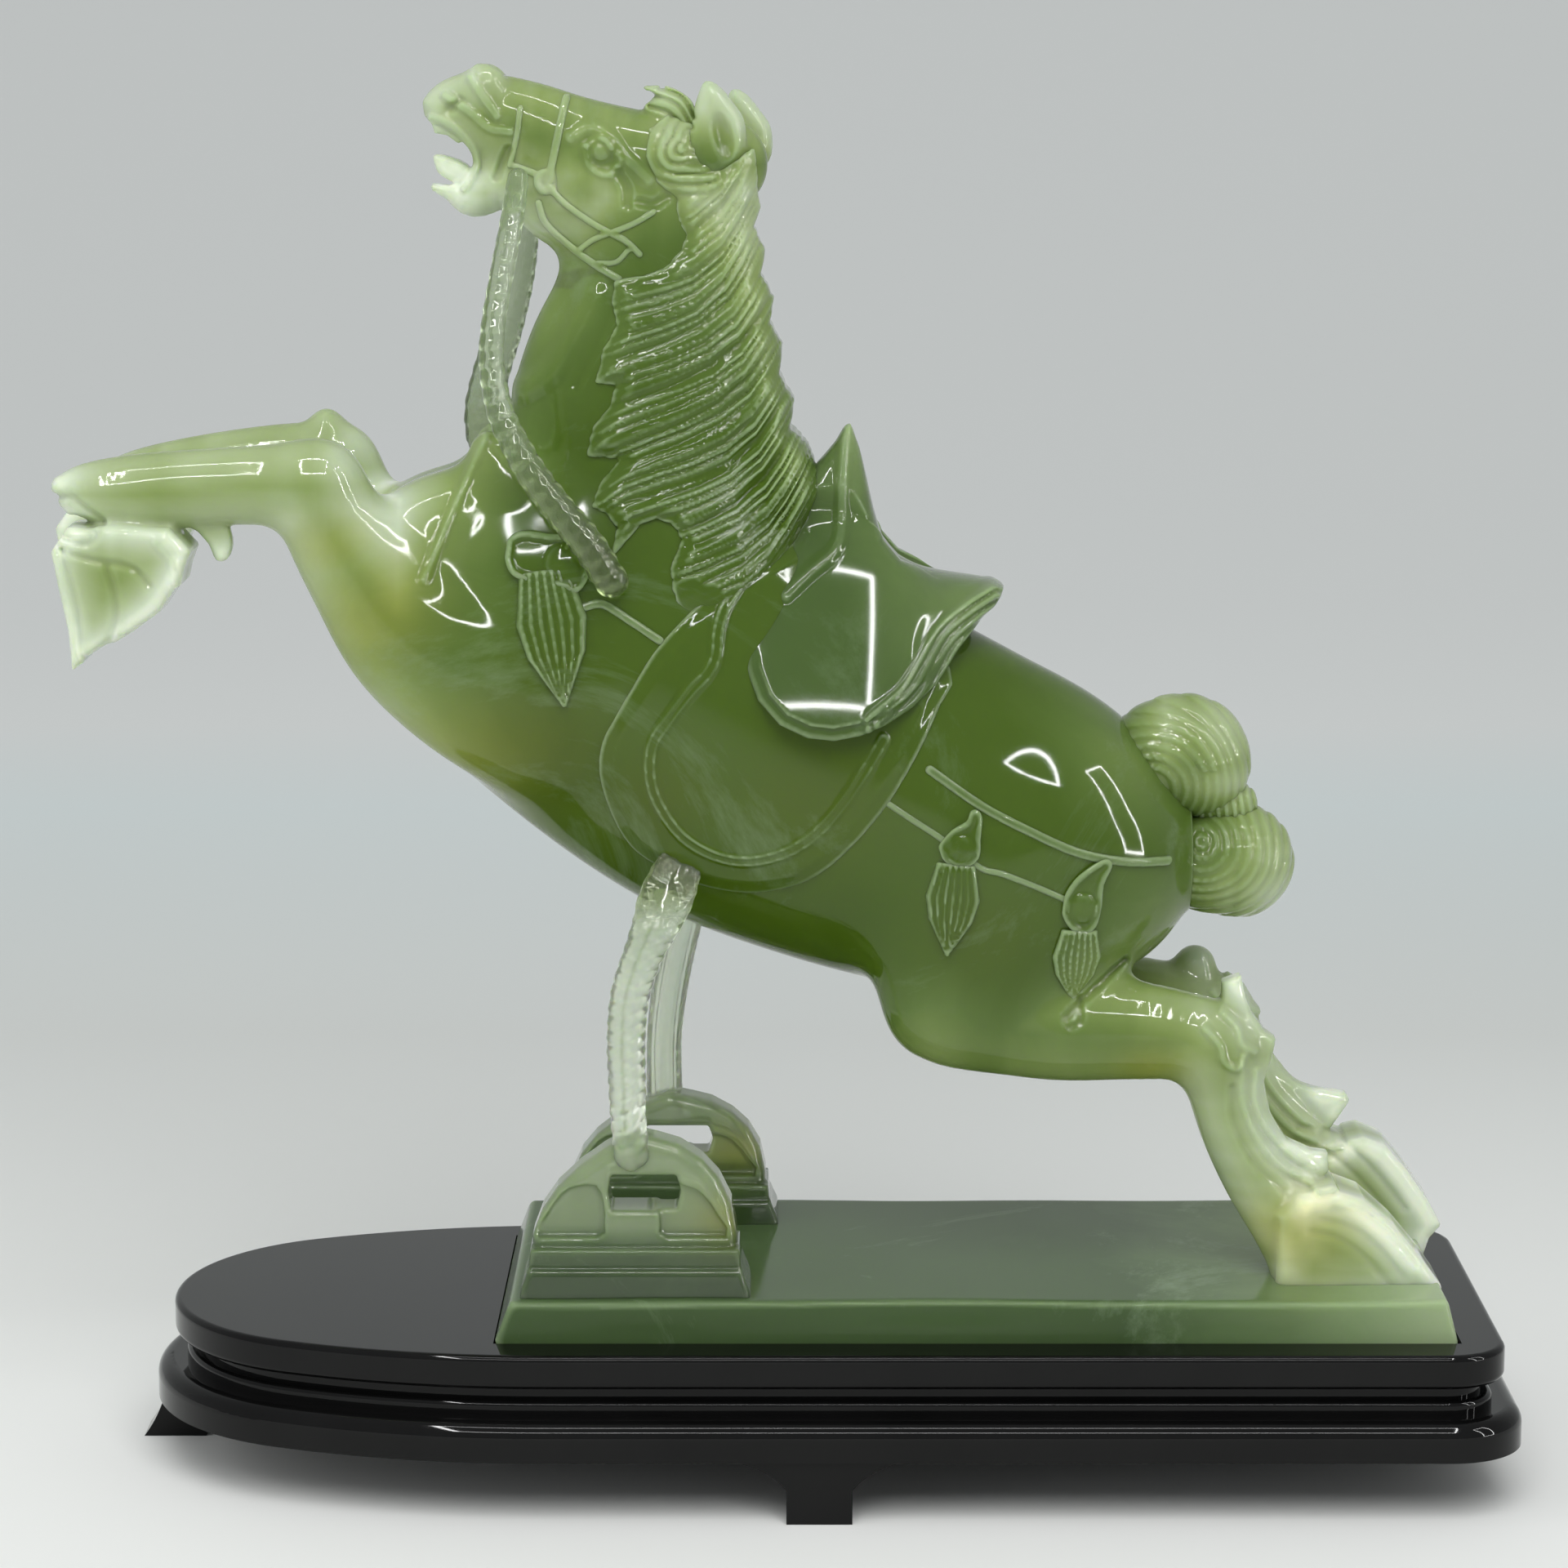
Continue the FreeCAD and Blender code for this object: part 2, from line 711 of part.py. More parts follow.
def make_horse(plinth):
    """Trunk, neck, head, ears, legs and tail. Returns what the harness is cut back to."""
    torso = loft("torso", TORSO, "torso_half_height", "torso_half_width")
    keep(torso, "torso")
    neck_blank = loft("neck", NECK, "neck_half_depth", "neck_half_width")
    head_blank = loft("head", HEAD, "head_half_height", "head_half_width")
    head = keep(head_blank, "head")
    neck = keep(cut("neck", neck_blank, [torso, head]), "neck")
    keep(cut("muzzle", loft("muzzle", MUZZLE, "muzzle_half_height", "muzzle_half_width"), [head]), "muzzle")
    keep(cut("jaw", loft("jaw", JAW, "jaw_half_height", "jaw_half_width"), [head]), "lower_jaw")
    ears = []
    for name, side in SIDES.items():
        ear = loft(f"{name}_ear", EAR, "ear_half_depth", "ear_half_width", side)
        ears.append(keep(cut(f"{name}_ear", ear, [head, neck]), f"{name}_ear"))
    mane = loft("mane", MANE, "mane_half_depth", "mane_half_width")
    mane = keep(cut("mane", mane, [torso, neck, head, *ears]), "mane")
    forelock = loft("forelock", FORELOCK, "tuft_half_height", "tuft_half_width")
    keep(cut("forelock", forelock, [head]), "forelock")
    for name, side in SIDES.items():
        make_legs(name, side, torso, plinth)
    buns = []
    for name, (x, z) in TAIL_BUNS.items():
        place = Placement(Vector(x, 0, z), Rotation())
        bun = feature("Part::Sphere", f"tail_{name}", place, Radius="Dims.tail_bun_radius")
        buns.append(keep(cut(f"tail_{name}", bun, [torso]), f"tail_{name}_bun"))
    tie = rope("tail_tie", TAIL_TIE, "tail_tie_radius")
    keep(cut("tail_tie", tie, buns), "tail_tie")
    return torso, neck, head, mane


def leg(name, stations, side, pair, size):
    """One length of a leg, moved on where the far leg of a pair is set ahead of the near one."""
    dx, dz = FAR_SHIFT[pair] if side == FAR else (0, 0)
    moved = [(x + dx, y, z + dz, *shares) for x, y, z, *shares in stations]
    return loft(name, moved, f"{size}_half_depth", f"{size}_half_width", side)


def make_legs(name, side, torso, plinth):
    """One side's fore leg, lifted and folded, and hind leg, standing on the plinth."""
    forearm = loft(f"{name}_forearm", FOREARM, "forearm_half_depth", "forearm_half_width", side)
    forearm = keep(cut(f"{name}_forearm", forearm, [torso]), f"{name}_forearm")
    fore_shank = leg(f"{name}_shank", FORE_SHANK, side, "fore", "fore_shank")
    fore_shank = keep(cut(f"{name}_shank", fore_shank, [forearm]), f"{name}_fore_shank")
    fore_hoof = leg(f"{name}_fore_hoof", FORE_HOOF, side, "fore", "hoof")
    keep(cut(f"{name}_fore_hoof", fore_hoof, [fore_shank]), f"{name}_fore_hoof")
    thigh = loft(f"{name}_thigh", THIGH, "thigh_half_depth", "thigh_half_width", side)
    thigh = keep(cut(f"{name}_thigh", thigh, [torso]), f"{name}_thigh")
    gaskin = leg(f"{name}_gaskin", GASKIN, side, "hind", "gaskin")
    gaskin = keep(cut(f"{name}_gaskin", gaskin, [torso, thigh]), f"{name}_gaskin")
    hind_shank = leg(f"{name}_hind", HIND_SHANK, side, "hind", "hind_shank")
    hind_shank = keep(cut(f"{name}_hind", hind_shank, [gaskin, plinth]), f"{name}_hind_shank")
    hind_hoof = leg(f"{name}_hind_hoof", HIND_HOOF, side, "hind", "hoof")
    keep(cut(f"{name}_hind_hoof", hind_hoof, [hind_shank, plinth]), f"{name}_hind_hoof")


def make_saddle(torso, mane, neck):
    """The saddle over the back: its side view, rounded across, less the horse under it."""
    edges = [
        line(SADDLE_SEAT[-1], SADDLE_SKIRT[0]),
        curve(SADDLE_SKIRT),
        line(SADDLE_SKIRT[-1], CANTLE_BACK),
        line(CANTLE_BACK, SADDLE_SEAT[0]),
        curve(SADDLE_SEAT),
    ]
    side_view = prism("saddle", edges, -LAYER_OUTER, LAYER_OUTER)
    tilt = math.radians(dim("saddle_tilt"))
    along = Vector(math.cos(tilt), 0, -math.sin(tilt))
    upright = Vector(math.sin(tilt), 0, math.cos(tilt))
    x, z = SADDLE_ROUND_START
    across = feature(
        "Part::Ellipse",
        "saddle_round",
        Placement(Vector(x, 0, z), Rotation(upright, Vector(0, 1, 0), along, "ZXY")),
        MajorRadius="Dims.saddle_round_half_height",
        MinorRadius="Dims.torso_half_width + Dims.saddle_clearance",
    )
    tube = feature("Part::Extrusion", "saddle_tube", Base=across, Solid=True, LengthFwd="Dims.saddle_length")
    tube.DirMode = "Custom"
    tube.Dir = along
    doc.recompute()
    blank = common("saddle_blank", side_view, tube)
    return keep(cut("saddle", blank, [torso, mane, neck]), "saddle")


def thin_layer(name, outline, side, skin, under, others):
    """A carved layer on the trunk: a side-view shape, no thicker than the skin stands proud."""
    low, high = sorted((side * LAYER_INNER, side * LAYER_OUTER))
    made = common(f"{name}_skin", prism(name, outline, low, high), skin)
    return keep(cut(name, made, [under, *others]), name)


def make_harness(torso, neck, head, mane):
    """Saddle, flaps, straps, medallions with tassels, reins, stirrup leathers and stirrups."""
    saddle = make_saddle(torso, mane, neck)
    proud, flap_proud = dim("strap_thickness"), dim("flap_thickness")
    bridle_skin = loft("bridle_skin", HEAD, "head_half_height", "head_half_width", grow=proud)
    bridle_view = prism("bridle", polygon(BRIDLE), -BRIDLE_REACH, BRIDLE_REACH)
    bridle = cut("bridle", common("bridle_blank", bridle_view, bridle_skin), [head, neck, mane])
    keep(bridle, "bridle")
    flap_skin = loft("flap_skin", TORSO, "torso_half_height", "torso_half_width", grow=flap_proud)
    strap_skin = loft("strap_skin", TORSO, "torso_half_height", "torso_half_width", grow=proud)
    for name, side in SIDES.items():
        circle = Part.Circle(*side_points([FLAP_CENTRE]), Vector(0, 0, 1), dim("flap_radius"))
        flap = thin_layer(f"{name}_saddle_flap", [circle], side, flap_skin, torso, [saddle, mane])

        def strap(place, outline, others):
            label = f"{name}_{place}_strap"
            return thin_layer(label, polygon(outline), side, strap_skin, torso, others)

        thigh = doc.getObjectsByLabel(f"{name}_thigh")[0]
        breast = strap("breast", BREAST_STRAP, [flap, mane, neck])
        croup = strap("croup", CROUP_STRAP, [flap])
        hip = strap("hip", HIP_STRAP, [flap, croup, thigh])
        tassels = make_tassels(name, side, [torso, breast, hip, croup, thigh])
        make_stirrup(name, side, flap, torso)
        rein = rope(f"{name}_rein", REIN, "rein_radius", side)
        under = [torso, head, bridle, neck, mane, tassels["breast"], breast]
        keep(cut(f"{name}_rein", rein, under), f"{name}_rein")


def make_tassels(name, side, under):
    """Medallions on the straps, each with its hanging tassel. Returns them by place."""
    made = {}
    for place, ((x, z), (tip_x, tip_z)) in MEDALLIONS.items():
        y = MEDALLION_Y[place]
        boss = feature(
            "Part::Ellipsoid",
            f"{name}_{place}_boss",
            Placement(Vector(x, side * y, z), Rotation()),
            Radius1="Dims.medallion_radius",
            Radius2="Dims.medallion_radius",
            Radius3="Dims.medallion_thickness",
        )
        # Each station: how far across and how far down it is from the boss to the tip, then its size.
        hang = [
            (x + across * (tip_x - x), y, z + down * (tip_z - z), *shares)
            for across, down, *shares in TASSEL
        ]
        fringe = loft(f"{name}_{place}_fringe", hang, "tassel_half_width", "tassel_half_thickness", side)
        whole = feature("Part::Fuse", f"{name}_{place}_whole", Base=boss, Tool=fringe)
        doc.recompute()
        made[place] = keep(cut(f"{name}_{place}_tassel", whole, under), f"{name}_{place}_tassel")
    return made


def make_stirrup(name, side, flap, torso):
    """One stirrup: an arch over a stepped tread, pierced by a slot, with its leather down to it."""
    step = dim("plinth_top") + dim("stirrup_step_height")
    x = STIRRUP_X[name]
    y = side * STIRRUP_Y
    half_y = dim("stirrup_depth") / 2
    half_arch = half_y - dim("stirrup_arch_inset")
    tread = feature(
        "Part::Box",
        f"{name}_tread",
        Placement(Vector(x - dim("stirrup_width") / 2, y - half_y, dim("plinth_top")), Rotation()),
        Length="Dims.stirrup_width",
        Width="Dims.stirrup_depth",
        Height="Dims.stirrup_step_height",
    )
    arch_points = [(x + dx, step + dz) for dx, dz in STIRRUP_ARCH]
    edges = [curve(arch_points), line(arch_points[-1], arch_points[0])]
    arch = prism(f"{name}_arch", edges, y - half_arch, y + half_arch)
    slot_low = Vector(x - dim("stirrup_slot_width") / 2, y - half_y, step + dim("stirrup_slot_rise"))
    slot = feature(
        "Part::Box",
        f"{name}_slot",
        Placement(slot_low, Rotation()),
        Length="Dims.stirrup_slot_width",
        Width="Dims.stirrup_depth",
        Height="Dims.stirrup_slot_height",
    )
    whole = feature("Part::Fuse", f"{name}_stirrup_whole", Base=tread, Tool=arch)
    doc.recompute()
    stirrup = keep(cut(f"{name}_stirrup", whole, [slot]), f"{name}_stirrup")
    path = NEAR_LEATHER if name == "near" else FAR_LEATHER
    leather = rope(f"{name}_leather", path, "leather_radius", side)
    keep(cut(f"{name}_leather", leather, [torso, flap, stirrup]), f"{name}_stirrup_leather")


def check_and_export():
    """Stops on any failed object or bad solid, then writes one STEP file per node."""
    doc.recompute()
    failed = [o.Name for o in doc.Objects if {"Invalid", "Error"} & set(o.State)]
    if failed:
        raise RuntimeError(f"these objects failed: {failed}")
    for obj in nodes:
        shape = obj.Shape
        if shape.isNull() or not shape.isValid() or not shape.Solids:
            raise RuntimeError(f"{obj.Label} has no valid solid")
    os.makedirs(OUT, exist_ok=True)
    for obj in nodes:
        obj.Shape.exportStep(os.path.join(OUT, f"{obj.Label}.step"))
        print(f"{obj.Label:24s} solids {len(obj.Shape.Solids)}  {obj.Shape.Volume / 1000:8.2f} cm3")


make_stand_top()
make_waist()
make_rim()
make_feet()
make_harness(*make_horse(make_plinth()))
check_and_export()
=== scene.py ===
"""The looks of the carved jade horse on its lacquered stand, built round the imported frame.

The stone is carved the way a carver works it: forms are blended into each other, cut back and grooved as
distances on a grid of points, and each finished form is then skinned as one closed mesh. All lengths in the
carving are millimetres; meshes are made in metres. The horse faces -X, its near side is -Y.
"""

import json
import math

import bpy
import numpy as np
import openvdb
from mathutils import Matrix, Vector

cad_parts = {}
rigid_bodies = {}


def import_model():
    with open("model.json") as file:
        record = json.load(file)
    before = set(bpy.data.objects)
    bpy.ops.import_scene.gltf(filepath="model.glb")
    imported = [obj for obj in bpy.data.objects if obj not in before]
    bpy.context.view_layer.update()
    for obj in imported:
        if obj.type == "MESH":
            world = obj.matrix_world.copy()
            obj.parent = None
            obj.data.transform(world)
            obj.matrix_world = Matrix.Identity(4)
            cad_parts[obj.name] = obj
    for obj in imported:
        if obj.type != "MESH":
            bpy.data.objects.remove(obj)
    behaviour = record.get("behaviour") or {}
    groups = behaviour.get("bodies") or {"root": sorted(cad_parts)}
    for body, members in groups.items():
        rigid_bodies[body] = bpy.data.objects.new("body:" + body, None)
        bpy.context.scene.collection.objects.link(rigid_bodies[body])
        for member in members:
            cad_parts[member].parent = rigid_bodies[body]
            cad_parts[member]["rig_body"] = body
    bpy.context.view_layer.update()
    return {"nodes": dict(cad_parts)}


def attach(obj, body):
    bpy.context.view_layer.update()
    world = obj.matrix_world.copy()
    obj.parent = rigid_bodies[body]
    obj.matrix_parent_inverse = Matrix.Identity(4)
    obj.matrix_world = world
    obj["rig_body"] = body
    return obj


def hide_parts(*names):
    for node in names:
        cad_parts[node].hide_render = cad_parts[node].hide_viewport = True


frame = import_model()

MM = 0.001
NEAR, FAR = -1.0, 1.0
STEP, FINE, FINEST = ((0.5, 0.4, 0.36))  # spacing of the grids' points
OUTSIDE = 14.0  # the distance kept where nothing is carved
FAR_AWAY = 1e12
TINY = 1e-6
PLINTH_TOP = 46


# ------------------------------ distances
def smooth_min(a, b, k):
    """The lesser of two distances, rounded over where they differ by less than k."""
    if k <= 0:
        return np.minimum(a, b)
    h = np.maximum(k - np.abs(a - b), 0) / k
    return np.minimum(a, b) - h * h * (k * 0.25)


def smooth_max(a, b, k):
    """The greater of two distances, rounded over where they differ by less than k."""
    return -smooth_min(-a, -b, k)


def single(values):
    return np.asarray(values, np.float32)


def step_up(v):
    """0 below 0, 1 above 1 and smooth between."""
    v = np.clip(v, 0, 1)
    return v * v * (3 - 2 * v)


def spline(points, count=5):
    """A smooth line through the points, each with its radii."""
    s = single(points)
    ends = np.vstack([2 * s[0] - s[1], s, 2 * s[-1] - s[-2]])
    t = (np.arange(count, dtype=np.float32) / count)[:, None]
    out = []
    for i in range(len(s) - 1):
        a, b, c, d = ends[i : i + 4]
        curve = 2 * b + (c - a) * t + (2 * a - 5 * b + 4 * c - d) * t**2 + (3 * b - a - 3 * c + d) * t**3
        out.append(0.5 * curve)
    out.append(s[-1:])
    return np.vstack(out)


def squared_distance(x, z, start, end):
    """In side view, the squared distance to the straight length between two points."""
    (ax, az), (bx, bz) = start, end
    dx, dz = bx - ax, bz - az
    t = np.clip(((x - ax) * dx + (z - az) * dz) / max(dx * dx + dz * dz, TINY), 0, 1)
    return (x - ax - t * dx) ** 2 + (z - az - t * dz) ** 2


def stroke(points, half=0.0):
    """In side view, the distance to a smooth line through (x, z) points, drawn half wide."""
    line = spline(points, 4)

    def distance(x, z):
        best = np.float32(FAR_AWAY)
        for start, end in zip(line[:-1], line[1:]):
            best = np.minimum(best, squared_distance(x, z, start, end))
        return np.sqrt(best) - half

    distance.low = line.min(0) - half
    distance.high = line.max(0) + half
    return distance


def polygon(points, rounding=0.0, smooth=0):
    """In side view, the distance to a closed outline of (x, z) points; smooth > 1 runs a curve through them."""
    p = single(points)
    if smooth > 1:
        q = np.vstack([p[-2:], p, p[:2]])
        p = spline(q, smooth)[2 * smooth : -2 * smooth]
        p = p[:-1] if np.allclose(p[0], p[-1]) else p

    def distance(x, z):
        best, sign = np.float32(FAR_AWAY), np.float32(1)
        for (ax, az), (bx, bz) in zip(p, np.roll(p, -1, 0)):
            best = np.minimum(best, squared_distance(x, z, (ax, az), (bx, bz)))
            dz = bz - az
            crosses = (az > z) != (bz > z)
            right = x < ax + (z - az) / (dz if abs(dz) > TINY else TINY) * (bx - ax)
            sign = sign * np.where(crosses & right, -1.0, 1.0)
        return sign.astype(np.float32) * np.sqrt(best) - rounding

    distance.low = p.min(0) - rounding
    distance.high = p.max(0) + rounding
    return distance


class Limb:
    """A form along a line of stations (x, y, z, half height, half width), its width across the horse.

    Stations in the horse's middle plane leave out their y.
    After at(), along is how far each point lies along the line and beside its offset from it, in side view.
    """

    def __init__(self, stations, side=1.0, count=5):
        self.path = spline([s if len(s) == 5 else (s[0], 0, *s[1:]) for s in stations], count)
        self.path[:, 1] *= side
        h, w = self.path[:, 3], self.path[:, 4]
        reach = np.stack([h, w, h], 1)
        self.low = (self.path[:, :3] - reach).min(0)
        self.high = (self.path[:, :3] + reach).max(0)

    def at(self, x, y, z):
        best = None
        start = 0.0
        for a, b in zip(self.path[:-1], self.path[1:]):
            d = b - a
            length = math.sqrt(max(d[0] ** 2 + d[2] ** 2, TINY))
            t = np.clip(((x - a[0]) * d[0] + (z - a[2]) * d[2]) / length**2, 0, 1)
            px, pz = x - a[0] - t * d[0], z - a[2] - t * d[2]
            off = np.sqrt(px**2 + pz**2)
            beside = (pz * d[0] - px * d[2]) / length
            found = [off - (a[3] + t * d[3]), off, a[3] + t * d[3], a[4] + t * d[4], a[1] + t * d[1]]
            found += [start + t * length, beside]
            start += length
            if best is None:
                best = found
            else:
                closer = found[0] < best[0]
                best = [np.where(closer, new, old) for new, old in zip(found, best)]
        _, off, h, w, middle, self.along, self.beside = best
        return np.sqrt(off**2 + ((y - middle) * (h / w)) ** 2) - h


class Blob:
    """An ellipsoid, tilted nose up by an angle in side view."""

    def __init__(self, centre, radii, tilt=0.0, side=1.0):
        self.c = (centre[0], centre[1] * side, centre[2])
        self.r = radii
        self.cos, self.sin = math.cos(math.radians(tilt)), math.sin(math.radians(tilt))
        reach = np.array([max(radii[0], radii[2])] * 3)
        reach[1] = radii[1]
        self.low, self.high = np.array(self.c) - reach, np.array(self.c) + reach

    def at(self, x, y, z):
        dx, dy, dz = x - self.c[0], y - self.c[1], z - self.c[2]
        u = dx * self.cos + dz * self.sin
        v = dz * self.cos - dx * self.sin
        a, b, c = self.r
        k0 = np.sqrt((u / a) ** 2 + (dy / b) ** 2 + (v / c) ** 2)
        k1 = np.sqrt((u / a**2) ** 2 + (dy / b**2) ** 2 + (v / c**2) ** 2)
        return k0 * (k0 - 1) / np.maximum(k1, 1e-4)


class Slab:
    """A side-view outline of (x, z) points given a thickness across the horse, with rounded edges."""

    def __init__(self, points, y, half, edge, side=1.0, smooth=0):
        outline = polygon(points, smooth=smooth)
        self.outline, self.y, self.half, self.edge = outline, y * side, half, edge
        self.low = np.array([outline.low[0], self.y - half, outline.low[1]])
        self.high = np.array([outline.high[0], self.y + half, outline.high[1]])

    def at(self, x, y, z):
        flat = self.outline(x, z)
        return smooth_max(flat, np.abs(y - self.y) - self.half, self.edge)


class Block:
    """A box of space on a grid of points, each with its distance to the stone's surface, negative inside."""

    def __init__(self, low, high, step):
        self.step = step
        self.axes = [np.arange(a, b + step, step, dtype=np.float32) for a, b in zip(low, high)]
        self.field = np.full([len(a) for a in self.axes], OUTSIDE, np.float32)

    def window(self, low, high):
        """The slices of the grid inside a box, and the points' coordinates there."""
        cut = tuple(
            slice(int(np.searchsorted(axis, a)), int(np.searchsorted(axis, b)))
            for axis, a, b in zip(self.axes, low, high)
        )
        x, y, z = (axis[s] for axis, s in zip(self.axes, cut))
        return cut, x[:, None, None], y[None, :, None], z[None, None, :]

    def whole(self):
        return self.axes[0][:, None, None], self.axes[1][None, :, None], self.axes[2][None, None, :]

    def soften(self, radius):
        """Rounds off every crease by averaging over a few points each way."""
        count = max(1, int(round(radius / self.step)))
        for axis in (0, 1, 2):
            for _ in (0, 1):
                field = np.moveaxis(self.field, axis, 0)
                total = field.copy()
                for k in range(1, count + 1):
                    total[k:] += field[:-k]
                    total[:k] += field[:1]
                    total[:-k] += field[k:]
                    total[-k:] += field[-1:]
                total /= 2 * count + 1
                field[:] = total

    def copied(self, other):
        """Takes its field from another block's, read between its points."""
        field = other.field
        inside = []
        for axis, (mine, theirs) in enumerate(zip(self.axes, other.axes)):
            at = (mine - theirs[0]) / other.step
            inside.append((at >= 0) & (at <= len(theirs) - 1))
            at = np.clip(at, 0, len(theirs) - 1.001)
            index = at.astype(np.int32)
            share = (at - index).astype(np.float32)
            share = share.reshape([-1 if a == axis else 1 for a in range(3)])
            field = np.take(field, index, axis) * (1 - share) + np.take(field, index + 1, axis) * share
        a, b, c = inside
        keep = a[:, None, None] & b[None, :, None] & c[None, None, :]
        self.field = np.where(keep, field, OUTSIDE).astype(np.float32)
        return self

    def edit(self, shape, soft, blend):
        reach = soft + 3 * self.step
        cut, x, y, z = self.window(shape.low - reach, shape.high + reach)
        if all(s.stop > s.start for s in cut):
            self.field[cut] = blend(self.field[cut], shape.at(x, y, z).astype(np.float32), soft)

    def add(self, shape, soft=0.0):
        self.edit(shape, soft, smooth_min)

    def carve(self, shape, soft=0.0):
        self.edit(shape, soft, lambda a, b, k: smooth_max(a, -b, k))

    def emboss(self, line, height, width, side=None):
        """Raises, or with a negative height grooves, the surface along a side-view line or outline."""
        reach = width + self.step
        low = (line.low[0] - reach, self.axes[1][0], line.low[1] - reach)
        high = (line.high[0] + reach, self.axes[1][-1] + 1, line.high[1] + reach)
        cut, x, y, z = self.window(low, high)
        if all(s.stop > s.start for s in cut):
            bump = height * step_up(-line(x, z) / width + 1.0)
            if side is not None:
                bump = bump * step_up(side * y * 0.25)
            self.field[cut] -= bump.astype(np.float32)


def surface(block, field):
    """The points, in metres, and quads of a field's closed surface."""
    grid = openvdb.FloatGrid(OUTSIDE)
    band = 4 * block.step
    grid.background = band
    grid.copyFromArray(np.clip(np.ascontiguousarray(field), -band, band), tolerance=0.0)
    points, quads = grid.convertToQuads(0.0)
    points = points * block.step + np.array([axis[0] for axis in block.axes], np.float32)
    return points * MM, np.asarray(quads)


SHAPES = {}  # each piece's points and quads by its name


def mesh_object(name, points, quads):
    SHAPES[name] = (points, quads)
    mesh = bpy.data.meshes.new(name)
    mesh.vertices.add(len(points))
    mesh.vertices.foreach_set("co", np.ascontiguousarray(points, np.float32).ravel())
    mesh.loops.add(quads.size)
    mesh.loops.foreach_set("vertex_index", np.ascontiguousarray(quads, np.int32).ravel())
    mesh.polygons.add(len(quads))
    mesh.polygons.foreach_set("loop_start", np.arange(0, quads.size, quads.shape[1], dtype=np.int32))
    mesh.update(calc_edges=True)
    mesh.validate()
    mesh.polygons.foreach_set("use_smooth", np.ones(len(mesh.polygons), bool))
    made = bpy.data.objects.new(name, mesh)
    bpy.context.scene.collection.objects.link(made)
    return made


def between(stops, at):
    """The value at a place between (place, value) stops."""
    return np.interp(at, *zip(*stops))


def waves(phase, sharp=1.0):
    """0 to 1 and back once for each whole step of phase, with sharp valleys."""
    return np.abs(np.sin(np.pi * phase)) ** sharp


# ------------------------------ the horse under its harness
def sized(stations, half_height, half_width):
    return [(x, z, half_height * h, half_width * w) for x, z, h, w in stations]


TRUNK = sized([
    (-84, 203, 0.12, 0.26), (-77, 198.5, 0.40, 0.54), (-60, 188.5, 0.74, 0.82),
    (-36, 178.5, 0.97, 0.94), (-12, 163, 1.00, 0.98), (10, 152, 0.95, 1.00), (30, 144, 0.89, 0.98),
    (47, 138, 0.82, 0.95), (60, 134.5, 0.64, 0.88)], 44, 30)
NECK = sized([
    (-28, 190, 0.95, 1.00), (-32, 208, 1.02, 1.00), (-33.5, 224, 1.00, 0.90),
    (-33, 238, 0.90, 0.78), (-31, 251, 0.76, 0.66), (-30.5, 262, 0.68, 0.56),
    (-31, 272, 0.56, 0.50)], 29, 20)
FORE_LEG = [
    (-55, 15, 170.5, 19.5, 13), (-68, 16, 175.5, 18, 12.5), (-81.3, 16.5, 184.8, 15.6, 11.5),
    (-91.5, 17, 197.8, 12.6, 10), (-98.5, 17.5, 209.3, 10.9, 9), (-102, 18, 216.5, 9.2, 8.6)]
FORE_SHANK = [
    (-101, 18, 217.3, 9.0, 8.4), (-110, 18, 217.3, 8.6, 8), (-120, 18, 217, 8.2, 7.4),
    (-131, 18, 216.3, 8.2, 7.2), (-141, 18, 215.4, 8.2, 7.4), (-149, 18, 215.5, 6.6, 7),
    (-155, 18, 217, 2.6, 5)]
FAR_FORE_SHANK = [
    (-101, 18, 217.8, 9.0, 8.4), (-110, 18, 218.2, 8.8, 8), (-121, 18, 217.4, 8.4, 7.4),
    (-133, 18, 215.6, 8.2, 7.2), (-143, 18, 213.4, 8.0, 7.4), (-149, 18, 212.4, 6.2, 7),
    (-153, 18, 212.5, 2.6, 5)]
THIGH = [(56, 12, 143, 19, 15), (46, 14.5, 128, 27, 14.5), (39, 16.5, 116, 22, 12), (33, 17.5, 106, 13, 9.5)]
GASKIN = [
    (31, 17.5, 104, 10, 8.5), (40, 17.5, 101.3, 11.0, 9.2), (56, 17.5, 99.3, 11.4, 9.4),
    (72, 17.5, 98.8, 10.8, 9), (84, 17.5, 97.5, 9.6, 8.4), (91, 17.5, 95, 8.6, 8)]
HIND_SHANK = [
    (91, 18, 95, 8.4, 7.6), (93, 18, 86, 8, 7.2), (96, 18, 76, 7.6, 7), (101, 18, 66, 7.8, 7.4),
    (107, 18, 57, 8.4, 8.4), (112, 18, 50, 9.5, 9.5)]
FAR_HIND_SHANK = [
    (94, 18, 94, 8.4, 7.6), (98, 18, 85, 8, 7.2), (105, 18, 76, 7.6, 7), (112, 18, 67, 7.8, 7.4),
    (118, 18, 58, 8.4, 8.4), (121, 18, 51, 9.5, 9.5)]
FORE_HOOF = [
    (-157, 204), (-155.6, 196), (-153.8, 187), (-153.2, 178.5), (-149, 181.5), (-140, 187), (-134.5, 191),
    (-130, 197.5), (-127.5, 204), (-132, 209), (-146, 210), (-153.5, 209)]
HIND_HOOF = [
    (104, 60), (109, 64.4), (116, 65.6), (123, 63), (130, 56.8), (136, 49.6), (140, 44), (140, 40), (104, 40)]


def moved(stations, dx, dz):
    return [(s[0] + dx, s[1], s[2] + dz, *s[3:]) for s in stations]


def shifted(points, dx, dz):
    return [(x + dx, z + dz) for x, z in points]


def lay(block, forms):
    """Blends forms into a block in turn, each with how far its blend spreads."""
    for form, soft in forms:
        block.add(form, soft)


